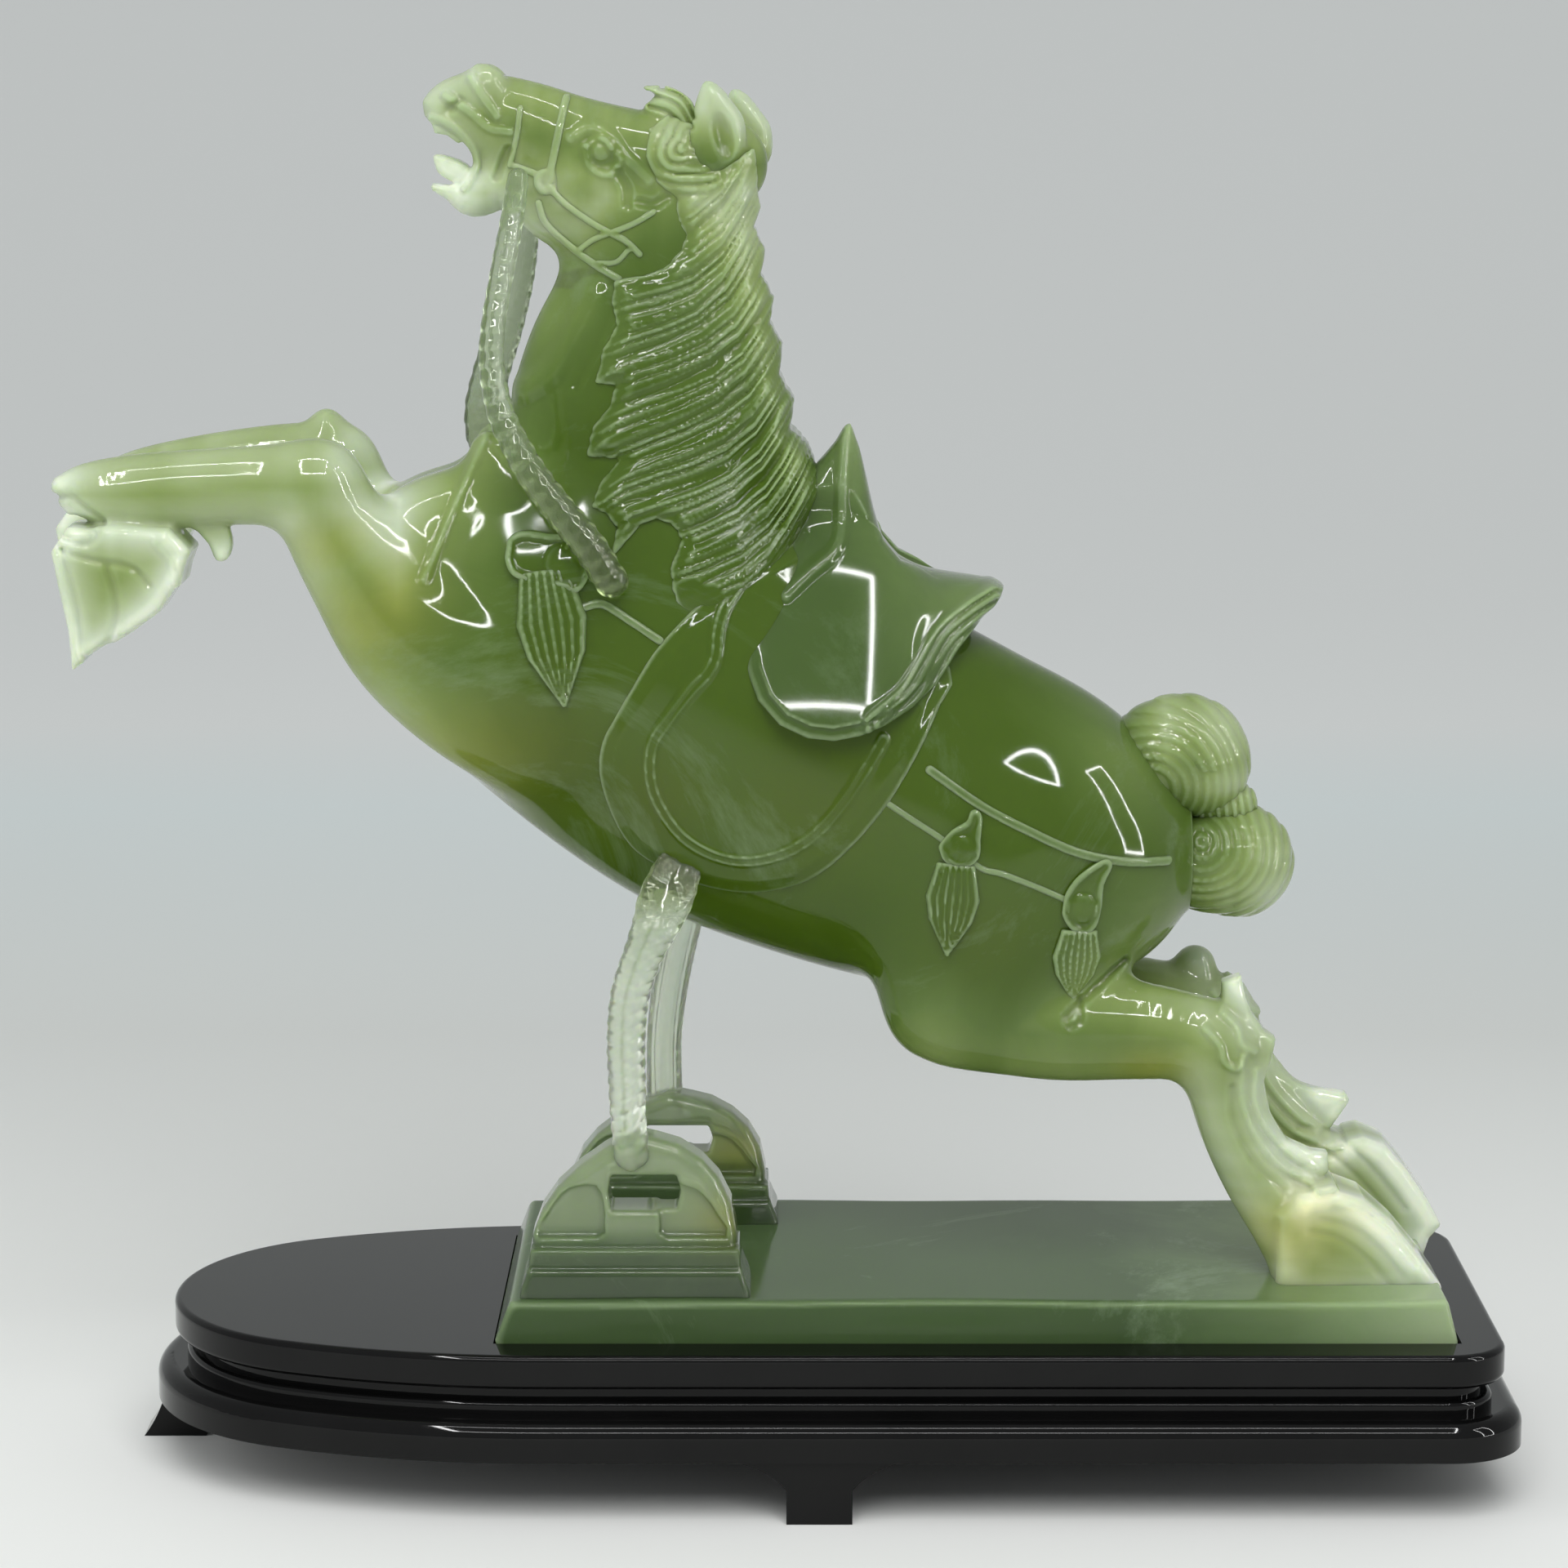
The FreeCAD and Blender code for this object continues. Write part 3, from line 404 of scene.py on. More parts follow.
def carve_trunk():
    """The trunk, neck, chest muscles and upper legs, softened into one form that all the harness lies on."""
    block = Block((-118, -46, 78), (86, 46, 292), STEP)
    lay(block, [(Limb(TRUNK), 0), (Limb(NECK), 12)])
    for side in (NEAR, FAR):
        lay(block, [
            (Blob((-62, 9, 216), (9, 7, 10), 55, side), 7), (Blob((-65, 10, 224.5), (3.2, 4, 5), 60, side), 4),
            (Blob((-78, 9, 208.5), (11, 9, 9), 20, side), 6), (Limb(FORE_LEG, side), 9), (Limb(THIGH, side), 9)])
    block.soften(2.2)
    return block


def lay_legs(block):
    lay(block, [
        (Limb(FORE_SHANK, NEAR), 5), (Limb(FAR_FORE_SHANK, FAR), 5),
        (Blob((-102.8, 18, 226), (3.6, 5, 4.2), 0, FAR), 3), (Limb(GASKIN, NEAR), 7),
        (Limb(moved(GASKIN, 3, -2), FAR), 7), (Limb(HIND_SHANK, NEAR), 5), (Limb(FAR_HIND_SHANK, FAR), 5),
        (Slab(FORE_HOOF, 18, 9.5, 3.0, NEAR), 2.0), (Slab(shifted(FORE_HOOF, -5, 0.5), 18, 8.5, 3.0, FAR), 2.0)])
    leaf = [(-128, 209), (-121, 209), (-119.4, 205), (-120.6, 201.6), (-123, 201.4), (-124.6, 205)]
    lay(block, [(Slab(leaf, 18, 2.4, 1.6, NEAR, smooth=3), 1.5)])
    knee = [(-102.6, 221.6, 3.0), (-97.2, 216.8, 2.8), (-94.5, 213.2, 2.2)]
    lay(block, [(Blob((x, 19, z), (size, 5, size), 0, NEAR), 2.0) for x, z, size in knee])
    far_hoof = [
        (112, 58), (121.2, 66.4), (127.2, 67.8), (132.4, 65.8), (137.4, 59.8), (142.4, 52.6), (145, 47.6),
        (142.4, 44.6), (141, 40), (112, 40)]
    fin = [
        (104, 84), (111, 79.6), (117, 77.6), (123.8, 76.6), (124.6, 74.8), (121.8, 70.6), (118.5, 66),
        (112, 64), (104, 72)]
    fringe = [
        (92, 110), (96, 111.5), (97, 107), (98.5, 103), (101, 99.5), (103.8, 97.5), (103, 93), (101, 88),
        (102.5, 81), (106.5, 75), (112, 72.5), (115.5, 72), (115.8, 68), (113, 65), (104, 68), (97, 80),
        (92, 95)]
    lay(block, [
        (Blob((89.5, 18, 105.4), (4.6, 4.5, 4.6), 0, FAR), 3), (Slab(HIND_HOOF, 18, 10.5, 3.0, NEAR), 2.0),
        (Slab(far_hoof, 18, 10.5, 3.0, FAR), 2.0), (Slab(fin, 17, 3.0, 2.0, FAR), 1.5),
        (Slab(fringe, 18, 3.4, 2.0, NEAR), 2.0)])


def carve_leg_lines(block):
    """The fine cuts on hooves, hocks, knees and the thigh."""
    cuts = [
        ([(-154.5, 204.5), (-151.5, 192), (-151, 182)], -0.6, 1.4),
        ([(-145, 201), (-143.2, 194), (-144.5, 186), (-150, 181)], -0.6, 1.4),
        ([(-154.5, 204.5), (-148, 202.5), (-140, 201), (-136, 197)], -0.6, 1.3),
        ([(-157, 215), (-152.5, 215.2), (-149.5, 213), (-146, 210), (-152, 210.8)], -0.8, 1.4),
        ([(-153, 210.5), (-147.2, 208.3), (-149, 206), (-154, 206.6)], -0.7, 1.2),
        ([(-134, 206), (-131, 202), (-130, 197)], 0.6, 1.6),
        ([(58, 103.5), (60.5, 106), (66, 110.5), (71, 114.5)], -1.0, 1.6),
        ([(61, 107.5), (61, 103), (58.5, 101.5)], -0.7, 1.2),
        ([(88, 101), (91, 97.5), (92, 94), (95, 92.2), (96.4, 95)], 0.9, 1.4),
        ([(92, 104), (95, 101), (96, 97.5), (99, 95.4)], 0.9, 1.4),
        ([(96, 93), (96.4, 85), (99.2, 77.5), (105, 70.5), (111, 66.5)], 0.8, 1.5),
        ([(99.6, 91), (99.4, 84.5), (102, 78.5), (107.5, 72.5), (112.5, 69)], 0.8, 1.5),
        ([(94, 88), (94.4, 81), (98.6, 72), (105.5, 65)], -0.5, 1.5),
        ([(108, 68.5), (111.5, 67.5), (113, 65.4), (117, 66.2)], 0.7, 1.4)]
    for line, height, width in cuts:
        block.emboss(stroke(line), height, width, NEAR)
        block.emboss(stroke(shifted(line, 0 if line[0][0] < 80 else 5, 0)), height, width, FAR)
    for k in range(4):
        arc = shifted([(114, 71), (120, 69.8), (126, 66.5), (132, 60.5), (138, 53)], -1.5 - 2.2 * k, -1.0 - 3.1 * k)
        block.emboss(stroke(arc), -0.5, 1.1, FAR)
    for k in range(3):
        arc = shifted([(116, 62), (122, 60.5), (128, 56), (134, 49)], -2.4 * k, -2.6 * k)
        block.emboss(stroke(arc), -0.35, 1.2, NEAR)


def carve_body():
    block = Block((-163, -46, 38), (152, 46, 292), STEP).copied(TRUNK_BLOCK)
    lay_legs(block)
    block.emboss(stroke([(-43, 257), (-47, 249), (-52, 241), (-58, 236.5)], 0.5), 1.2, 3.5)
    block.emboss(stroke([(-36, 258), (-40, 251), (-43, 245), (-46.5, 238)]), -0.6, 1.8)
    block.emboss(stroke([(-66, 227), (-71, 216), (-78.5, 198)]), 0.7, 1.6)
    carve_leg_lines(block)
    return block, block.field


# ------------------------------ the head
def carve_head():
    block = Block((-83, -17, 250), (-2, 17, 307), FINEST)
    skull = [
        (-16, 284, 10, 8), (-27, 283.4, 11.0, 10), (-38, 284.8, 11.4, 10.3), (-48, 287.6, 11.0, 9),
        (-57, 291, 10.4, 7.8), (-65, 294, 9, 7.4), (-71, 295.5, 7, 7), (-73.5, 295.8, 5.4, 6)]
    block.add(Limb(skull))
    jaw = [
        (-76.5, 279.3, 1.3, 3.5), (-73, 278.6, 2.6, 4.2), (-68.5, 277, 4.2, 4.8),
        (-62.5, 279.5, 5.2, 5.4), (-56, 278, 6.8, 6.4), (-50, 274.5, 8, 7), (-42, 272.5, 9, 7.5),
        (-34, 272, 9.5, 8)]
    block.add(Limb(jaw), 5)
    for side in (NEAR, FAR):
        block.add(Blob((-31, 4.5, 269.5), (8.6, 6.5, 9.6), 0, side), 3)
        block.add(Blob((-45, 4, 279), (9, 5.5, 9), 0, side), 5)
        block.add(Blob((-66.2, 3.8, 299.3), (4.6, 3.6, 5.6), -30, side), 2)
    neck = Block((-83, -17, 250), (-2, 17, 307), FINEST).copied(TRUNK_BLOCK)
    block.field = smooth_min(block.field, neck.field, 5)
    block.field += (1.6 * step_up((258 - block.axes[2]) / 6))[None, None, :].astype(np.float32)
    mouth = [
        (-90, 295), (-77.6, 293.4), (-75, 292.6), (-72.1, 290.6), (-69.5, 287.3), (-69, 285.2), (-69.2, 283.1),
        (-71.1, 279.8), (-74, 279.6), (-78, 280.3), (-90, 281)]
    block.carve(Slab(mouth, 0, 30, 0), 1.2)
    tongue = [(-77.2, 285.6), (-75, 286), (-70, 284), (-68, 280), (-73, 280.4), (-76.4, 282.6)]
    block.add(Slab(tongue, 0, 3.4, 1.6, smooth=3), 1.4)
    teeth = [(-77.4, 293.6), (-76.6, 290.6), (-74, 290.2), (-71.6, 288.4), (-70, 290), (-74, 294)]
    block.add(Slab(teeth, 0, 4.6, 1.0), 0.8)
    lip = [
        (-78.6, 297.0), (-77, 298.4), (-73.4, 300.6), (-69.6, 303.4), (-67.4, 305.2), (-65.4, 304.4),
        (-62, 298), (-66, 290), (-71, 291.2), (-75, 293), (-77.8, 294.6)]
    block.add(Slab(lip, 0, 4.6, 4.0), 2.5)
    for side in (NEAR, FAR):
        block.carve(Blob((-72.4, 7.0, 296.6), (2.6, 1.8, 1.3), 35, side), 1.2)
        block.carve(Blob((-41.2, 11.4, 286.6), (5.0, 2.0, 4.2), 0, side), 2.0)
        block.add(Blob((-41.2, 8.6, 287.0), (2.8, 2.1, 2.6), 0, side), 0.6)
    cuts = [  # the line, its half width, how far it stands out and over what width
        ([(-74, 298.6), (-69, 295.3), (-64.8, 291.8), (-60.5, 291)], 0.3, 0.8, 1.2),
        ([(-68.7, 302.5), (-66, 298.5), (-63.2, 294.5)], 0.3, 0.8, 1.2),
        ([(-77.2, 294), (-74.5, 293.2), (-71.4, 291.2), (-68.6, 287.6), (-68, 285.2), (-68.3, 282.6), (-70.5, 279)],
         0.3, 0.7, 1.0),
        ([(-60.8, 287.3), (-62, 285), (-63.4, 281.5)], 0.2, -0.9, 1.3),
        ([(-47.5, 290), (-44.5, 291.8), (-42, 291.9), (-40, 290.5), (-38.2, 289), (-36, 286), (-33, 283),
          (-31, 281)], 0.2, 0.8, 2.0),
        ([(-44.6, 288), (-43.6, 284.3), (-41, 282.3), (-38.6, 282.5), (-37.4, 284.7), (-37.8, 286.3)],
         0.2, 0.6, 1.2),
        ([(-44, 288.2), (-42.5, 289.7), (-40.3, 289.4), (-38.8, 287.6)], 0.2, 0.5, 0.9),
        ([(-37.5, 282.5), (-35.8, 279.5), (-35.5, 276)], 0.3, -0.7, 1.4),
        ([(-27.5, 277.5), (-30, 276), (-33, 276.5)], 0.3, -0.6, 1.4),
    ]
    for line, half, height, width in cuts:
        block.emboss(stroke(line, half), height, width)
    for side, dx, dz in ((NEAR, 0, 0), (FAR, 5.6, -2.0)):
        leaf = [
            (-23.8, 288), (-22.4, 293), (-20.3, 300), (-18.6, 301.8), (-15.8, 300.4), (-13, 297),
            (-10.8, 293.5), (-10.6, 288), (-13, 284), (-17, 281), (-21, 282.5)]
        block.add(Slab(shifted(leaf, dx, dz), 7.2, 3.0, 4.0, side, smooth=3), 2.0)
        block.carve(Blob((-15.2 + dx, 11.4, 290.4 + dz), (2.4, 3.0, 5.4), 14, side), 1.0)
    tuft = [
        (-20.5, 291), (-21.4, 296), (-23.4, 298.6), (-27, 300.4), (-30.4, 300.6), (-32.4, 300.2), (-30.4, 298),
        (-32.2, 296.2), (-30.6, 294), (-29, 291)]
    block.add(Slab(tuft, 0, 5.5, 4.0, smooth=3), 1.5)
    for line in ([(-22, 292), (-25, 296.6), (-31, 299)], [(-23.4, 291.4), (-27, 295), (-31, 296.2)],
                 [(-21.6, 294), (-24, 298), (-28.6, 300)]):
        block.emboss(stroke(line), -0.7, 0.9)
    return block, block.field


def bridle_lines():
    """The bridle's straps in side view, each with its half width."""
    return [
        ([(-48.6, 298), (-50.6, 288.5), (-52.3, 281)], 1.2),
        ([(-58.2, 296), (-59, 290), (-60.6, 284)], 0.9),
        ([(-59.5, 283.8), (-55.5, 282.4), (-52.5, 280.5)], 1.0),
        ([(-52.5, 280), (-49, 276.2), (-43.5, 272.2), (-39.5, 270), (-36, 268.3), (-33, 265.5)], 1.0),
        ([(-54.5, 276), (-53.5, 272.5), (-51, 269.5), (-46.5, 265.8), (-42, 262.8), (-37.5, 260.3)], 1.1),
        ([(-46.2, 266), (-43, 268.4), (-39, 270), (-34.5, 271.8), (-30, 274.4)], 0.9),
        ([(-33, 265.5), (-35, 266.6), (-38, 263.8), (-42, 263.5)], 0.8),
    ]


def carve_bridle(head):
    x, y, z = head.whole()
    lines = [stroke(points, 0.75 * half)(x, z) for points, half in bridle_lines()]
    strap = smooth_max(head.field - 0.75, np.minimum.reduce(lines), 0.8)
    ring = np.sqrt((np.sqrt((x + 52.6) ** 2 + (z - 280.6) ** 2) - 1.9) ** 2 + (np.abs(y) - 8.2) ** 2) - 1.0
    strap = smooth_min(strap, ring, 0.5)
    return head, single(np.maximum(strap, -(head.field + 1.2)))


# ------------------------------ the mane
CREST = [(200, 2.0), (222, 1.0), (233, -1.0), (246, -3.2), (255, -5.0), (268, -8.6)]  # its z and x
SWEEP = [  # how far each strand falls or rises away from the crest
    (-60, -40), (-46, -29), (-40, -24.5), (-34, -20.5), (-27, -17.6), (-20, -15.4), (-13, -12.8), (-7, -8.2),
    (-3.5, -3.2), (0, 3), (4, 10)]


def strand_number(x, z):
    """Rises across the mane's strands, in millimetres at the crest, and stays the same along each."""
    crest = between(CREST, z)
    for _ in range(3):
        start = z - between(SWEEP, x - crest)
        crest = between(CREST, start)
    return start


def hair(phase, u):
    """Relief of carved hair, 0 in the valleys: wide locks, each cut into strands of uneven width."""
    sway = 0.5 * np.sin(0.17 * u + 0.9 * np.sin(0.13 * phase)) + 0.3 * np.sin(0.093 * u - 0.31 * phase)
    lock = waves((phase + 1.2 * sway - 4.6) / 9.6, 0.7)
    strand = waves((phase + sway) / 2.6 + 0.25 * np.sin(phase * 0.9), 0.7)
    fine = waves((phase + 0.5 * sway) / 1.3 + 0.2 * np.sin(phase * 1.7 + 0.1 * u), 0.9)
    return 0.9 * lock + 0.8 * strand + 0.3 * fine


EAR = (-22.5, 288.5)  # the middle of the curls round the ear
MANE = [
    (-9, 287), (-8.6, 280), (-8.0, 275), (-9.4, 271), (-7.0, 266), (-8.0, 260.6), (-5.0, 256), (-6.1, 250.6),
    (-3.2, 246), (-4.1, 240), (-0.8, 234), (-1.6, 228.4), (0.6, 226), (4.0, 222.5), (4.5, 214), (1, 206),
    (-4.5, 200), (-9, 195), (-14, 191.5), (-19.5, 190), (-23.5, 191.5), (-25.6, 196), (-26, 200), (-23.6, 206),
    (-26, 210), (-29.5, 211), (-33, 209.8), (-35.6, 207), (-38.2, 203.8), (-37.2, 209), (-39.5, 211.5),
    (-42.6, 213.2), (-40.4, 218.5), (-36.5, 222.8), (-40, 223.5), (-43.6, 223.8), (-42.6, 229), (-38.8, 234.4),
    (-37.4, 238.6), (-39.4, 239), (-41.8, 239), (-40.6, 245), (-37.2, 250.6), (-38.6, 255.5), (-37.8, 259.6),
    (-32, 260.4), (-27.6, 262), (-24, 266), (-23, 269), (-24.6, 273), (-25, 277.5), (-29, 281), (-31.2, 286),
    (-30.6, 291.4), (-27, 294), (-22, 292), (-21, 285), (-15, 283)]


def carve_mane():
    block = Block((-48, -26, 184), (9, 26, 298), FINE).copied(TRUNK_BLOCK)
    block.add(Limb([(-40, 285, 11, 10), (-27, 284, 11.3, 10), (-16, 284, 10, 8)]), 4)
    under = block.field.copy()
    crest = [
        (-16, 286, 6, 5.5), (-15, 276, 6, 6), (-13.6, 266, 6, 7), (-11.4, 255, 6, 8),
        (-9.2, 244, 6, 9), (-6.8, 234, 6, 10), (-4.6, 225, 6, 11), (-1, 214, 6, 12)]
    block.add(Limb(crest), 6)
    x, _, z = block.whole()
    phase = strand_number(x, z)
    relief = hair(phase, x)
    dx, dz = x - EAR[0], z - EAR[1]
    turn = np.hypot(dx, dz)
    curls = 1.2 * waves(turn / 2.3 + 0.35 * np.sin(np.arctan2(dz, dx) * 3.0), 0.6)
    by_ear = step_up((12 - turn) / 2.5) * step_up((-15 - x) / 2)
    relief = relief * (1 - by_ear) + (0.5 + curls) * by_ear
    outline = polygon(MANE)(x, z)
    rise = 1.3 + relief
    edge = step_up(-outline / 3.0)
    rise = 0.6 + (rise - 0.6) * (0.35 + 0.65 * edge)
    hide = smooth_max(block.field - rise, outline - 0.35 * relief, 1.2)
    return block, shell(hide, under)


# ------------------------------ saddle and harness in relief
SADDLE = [
    (4.4, 220.5), (7.8, 225), (10.2, 228.4), (12.0, 229.6), (13.0, 227.6), (14.4, 223.4), (15.8, 216.6),
    (17.0, 211), (18.8, 204.6), (22.5, 200.4), (29, 197.6), (36.4, 196.3), (42.5, 195.2), (45.1, 193.8),
    (45.2, 192.6), (43, 189.6), (40.6, 188.2), (37.4, 185), (34.6, 181.6), (30, 175.6), (24.6, 171), (19, 168),
    (14, 166), (8, 165), (2.4, 165.6), (-3.5, 168.2), (-8, 173), (-10.6, 179.4), (-11.2, 186.6), (-9.5, 193),
    (-6.5, 199), (-1, 205.5), (2, 211), (3.2, 217)]
FLAP = [
    (-10, 200), (-18.5, 194.5), (-24.2, 189.4), (-29.9, 183), (-34.8, 175.1), (-38.5, 168.6), (-41, 163.6),
    (-41.8, 157.3), (-40.3, 149.9), (-36.8, 141.9), (-31.8, 136.8), (-21.1, 131.6), (-9.8, 130.1), (0.1, 132.4),
    (7.2, 136.8), (14.3, 144), (20, 151.3), (25.6, 160.7), (30.6, 170.8), (33, 178), (20, 196), (0, 205)]
FLAP_BEAD = [
    (-6, 205), (-9.5, 200.4), (-12.4, 196.4), (-15, 192), (-16.4, 187.4), (-16.8, 182.4), (-18.6, 178.7),
    (-22, 175.1), (-27, 168.6), (-30.2, 163.6), (-30.9, 157.1), (-29.2, 150.6), (-24.3, 143.3), (-17.3, 139),
    (-9.8, 138), (-1.9, 140.2), (4.5, 144.6), (10.1, 151.1), (14.4, 157.6), (18.6, 164.5)]


SKIRT, SKIRT_RISE, SKIRT_RADII = (4, 187), 1.4, (82, 90, 106)  # the saddle's domed skirt and its middle
SHELL = 2.5  # how deep pieces in relief reach into the stone


def shell(made, under):
    """Keeps of a form only what lies within SHELL of the stone's surface or outside it."""
    return single(np.maximum(made, -(under + SHELL)))


def relief_piece(low, high, outline, height, soft=0.8):
    """A layer standing proud of the horse inside a side-view outline, on the near side."""
    block = Block((low[0], -46, low[1]), (high[0], -2, high[1]), FINE).copied(TRUNK_BLOCK)
    x, _, z = block.whole()
    flat = outline(x, z)
    return block, shell(smooth_max(block.field - height(x, z, flat), flat, soft), block.field)


def carve_saddle():
    block = Block((-15, -36, 160), (48, 36, 234), FINE).copied(TRUNK_BLOCK)
    under = block.field.copy()
    x, y, z = block.whole()
    outline = polygon(SADDLE)(x, z)
    seat = block.field - 4.0
    horn = Limb([(12, 229.4, 0.8, 1.2), (11, 223, 3.4, 4), (9.6, 215, 6.6, 8.5), (8.5, 205, 10, 14),
                 (7, 195, 14, 20)])
    seat = smooth_min(seat, horn.at(x, y, z), 8)
    cantle = Limb([(44.5, 193.6, 1.6, 7), (38, 191.5, 4.6, 13), (30, 188.5, 8, 18), (20, 186, 11, 21)])
    block.field = smooth_min(seat, cantle.at(x, y, z), 7).astype(np.float32)
    block.soften(1.6)
    seat = block.field
    reach = (31 - np.hypot((x - SKIRT[0] - 3) * 1.2, z - SKIRT[1] + 1)) / 10
    column = seat[np.searchsorted(block.axes[0], SKIRT[0]), :, np.searchsorted(block.axes[2], SKIRT[1])]
    stands_at = block.axes[1][np.argmax(column < 0)]
    centre = (SKIRT[0], SKIRT_RISE - stands_at - 73.8, SKIRT[1] - 60.7)
    for side in (NEAR, FAR):
        round_skirt = Blob(centre, SKIRT_RADII, 0, side).at(x, y, z)
        share = step_up(reach) * (side * y > 8)
        seat = seat * (1 - share) + round_skirt * share
    ridge = stroke([(11.2, 231), (10.5, 222), (10, 214), (9.7, 207), (8, 203), (3, 199), (-2, 194.5)], 0.2)
    seat = seat - 0.8 * step_up(1 - ridge(x, z) / 2.2)
    folds = stroke([(43, 191.5), (38, 189), (32.5, 185), (28.5, 179), (24.5, 173.5), (18, 168.5)])(x, z)
    seat = seat - 0.8 * step_up((4.4 - folds) / 1.5) * (0.35 + 0.65 * waves(folds / 2.0, 0.8))
    lip = step_up((outline + 3.2) / 1.0)
    seat = seat + 0.9 * lip * step_up((185 - z) / 12)
    made = smooth_max(seat, outline, 1.6)
    return block, shell(made, under)


def carve_flap():
    outline = polygon(FLAP, smooth=3)
    bead = stroke(FLAP_BEAD)

    def height(x, z, flat):
        band = bead(x, z)
        double = 0.75 * step_up((1.7 - band) / 0.8) - 0.35 * step_up((0.7 - band) / 0.7)
        return 2.0 - 0.9 * step_up((flat + 3.6) / 3.0) + double

    return relief_piece((-44, 127), (36, 207), outline, height, 1.0)


def carve_strap(points, half):
    line = stroke(points, half)
    return relief_piece(line.low - 3, line.high + 3, line, lambda x, z, flat: 1.0 + 0 * flat)


# place: the tassel's top, tip and half width; its medallion's outline, dome and rim
TASSELS = {
    "breast": (((-53, 199), (-48.8, 171.5), 7.6), (
        [(-61, 206), (-58, 208), (-52, 207.5), (-46, 207), (-43, 203), (-43.5, 199), (-46, 195.5), (-50, 196.5),
         (-56, 197.5), (-60, 199), (-61.5, 202.5)], (-48.5, 201.3, 4.6), 1.0)),
    "hip": (((34, 137), (32.2, 117.6), 5.8), (
        [(30.2, 141.5), (33, 145), (36.2, 147), (37, 149), (38.6, 149.3), (39.6, 147.5), (39.2, 143), (39, 139.2),
         (36.5, 137), (33.5, 137), (31, 139)], (34.8, 140.8, 3.3), 0.8)),
    "buttock": (((60.5, 122.5), (59.5, 106.5), 5.4), (
        [(57, 130.5), (59, 134), (62.5, 137), (66, 138.6), (67.4, 137), (65.6, 133), (65.2, 128), (64, 123.6),
         (61.5, 122), (58.5, 123.5), (56.6, 127)], (61, 128, 3.4), 0.9)),
}


STRAPS = {
    "breast_strap": ([(-45, 192.2), (-40.8, 193), (-35, 189.6), (-28.7, 185.4)], 0.9),
    "croup_strap": ([(28.4, 157.8), (39, 150.3), (49, 145), (60, 140), (70, 137.6), (80, 136.5)], 1.0),
    "hip_strap": ([(19.7, 150.6), (25, 147), (30.5, 143.4), (39, 137), (44, 135.6), (52, 132.4), (58, 129.6)], 0.7),
}


def carve_tassel(top, tip, half):
    """A hanging fringe of strands that tapers from its top to its tip."""
    (ax, az), (bx, bz) = top, tip
    length = math.hypot(bx - ax, bz - az)
    ux, uz = (bx - ax) / length, (bz - az) / length

    def frame_of(x, z):
        s = ((x - ax) * ux + (z - az) * uz) / length
        v = (x - ax) * uz - (z - az) * ux
        width = half * np.interp(s, [-0.2, 0, 0.35, 0.6, 0.85, 1.0], [0.62, 0.74, 1.0, 0.82, 0.34, 0.06])
        return s, v, width

    def outline(x, z):
        s, v, width = frame_of(x, z)
        return np.maximum(np.abs(v) - width, np.maximum(-s - 0.04, s - 1.0) * length).astype(np.float32)

    def height(x, z, flat):
        _, v, width = frame_of(x, z)
        t = np.clip(v / width, -1, 1)
        return 0.8 + 1.6 * np.sqrt(1 - t * t * 0.85) + 0.7 * waves(t * 3.5 + 0.5, 1.0)

    low = (min(ax, bx) - half - 3, min(az, bz) - 3)
    high = (max(ax, bx) + half + 3, max(az, bz) + 4)
    return relief_piece(low, high, outline, height)


def carve_medallion(points, dome, rim):
    """The boss that a tassel hangs from: a dome (x, z, radius) inside a raised rim."""
    outline = polygon(points, smooth=3)
    cx, cz, radius = dome

    def height(x, z, flat):
        r = np.sqrt((x - cx) ** 2 + (z - cz) ** 2)
        edge = rim * step_up((flat + 2.0) / 1.2)
        return 1.5 + edge + 1.3 * np.sqrt(np.maximum(1 - (r / radius) ** 2, 0))

    return relief_piece(outline.low - 3, outline.high + 3, outline, height)


# ------------------------------ reins, leathers, stirrups, tail, plinth
def carve_rope(stations, pitch, depths, lean, ridges=0.0):
    """A rein or leather carved as overlapping rounded segments, its cuts deepening from depths[0] to depths[1]."""
    limb = Limb(stations, NEAR, 8)
    block = Block(limb.low - 5, limb.high + 5, FINE)
    x, y, z = block.whole()
    distance = limb.at(x, y, z)
    saw = np.mod((limb.along + lean * limb.beside + 0.1 * limb.beside**2) / pitch, 1.0)
    bump = step_up(saw / 0.75) * (1 - step_up((saw - 0.8) / 0.2))
    depth = depths[0] + (depths[1] - depths[0]) * step_up(limb.along / limb.along.max())
    long = ridges * step_up(1 - np.abs(np.abs(limb.beside) - 1.9) / 0.9)
    return block, single(distance - depth * bump + long)


REIN = [
    (-58.6, 11.5, 281.5, 2.2, 2.2), (-59.6, 13, 274, 2.4, 2.3), (-61.6, 16.5, 263, 2.5, 2.4),
    (-63.6, 20, 251, 2.5, 2.4), (-63.8, 22, 242, 2.6, 2.5), (-61.8, 24.5, 233, 2.8, 2.7),
    (-58.5, 26, 226, 3.0, 2.9), (-54.6, 27.5, 219.6, 3.2, 3.0), (-49.5, 28.5, 213, 3.3, 3.1),
    (-43.6, 29.5, 206, 3.4, 3.2), (-38.8, 30.2, 198.4, 3.4, 3.2)]
FAR_REIN = [
    (-58.6, 11.5, 281.5, 2.4, 2.4), (-58.6, 14, 272, 3.0, 2.8), (-60.2, 18, 260, 3.4, 2.8),
    (-63.5, 21, 248, 3.8, 3.0), (-66.8, 23, 238, 4.0, 3.0), (-69, 25, 228, 4.0, 3.0),
    (-67.5, 27, 219, 3.6, 3.1), (-60, 28.5, 211, 3.4, 3.1), (-50, 29.5, 204, 3.4, 3.2),
    (-40, 30.2, 198.4, 3.5, 3.2)]
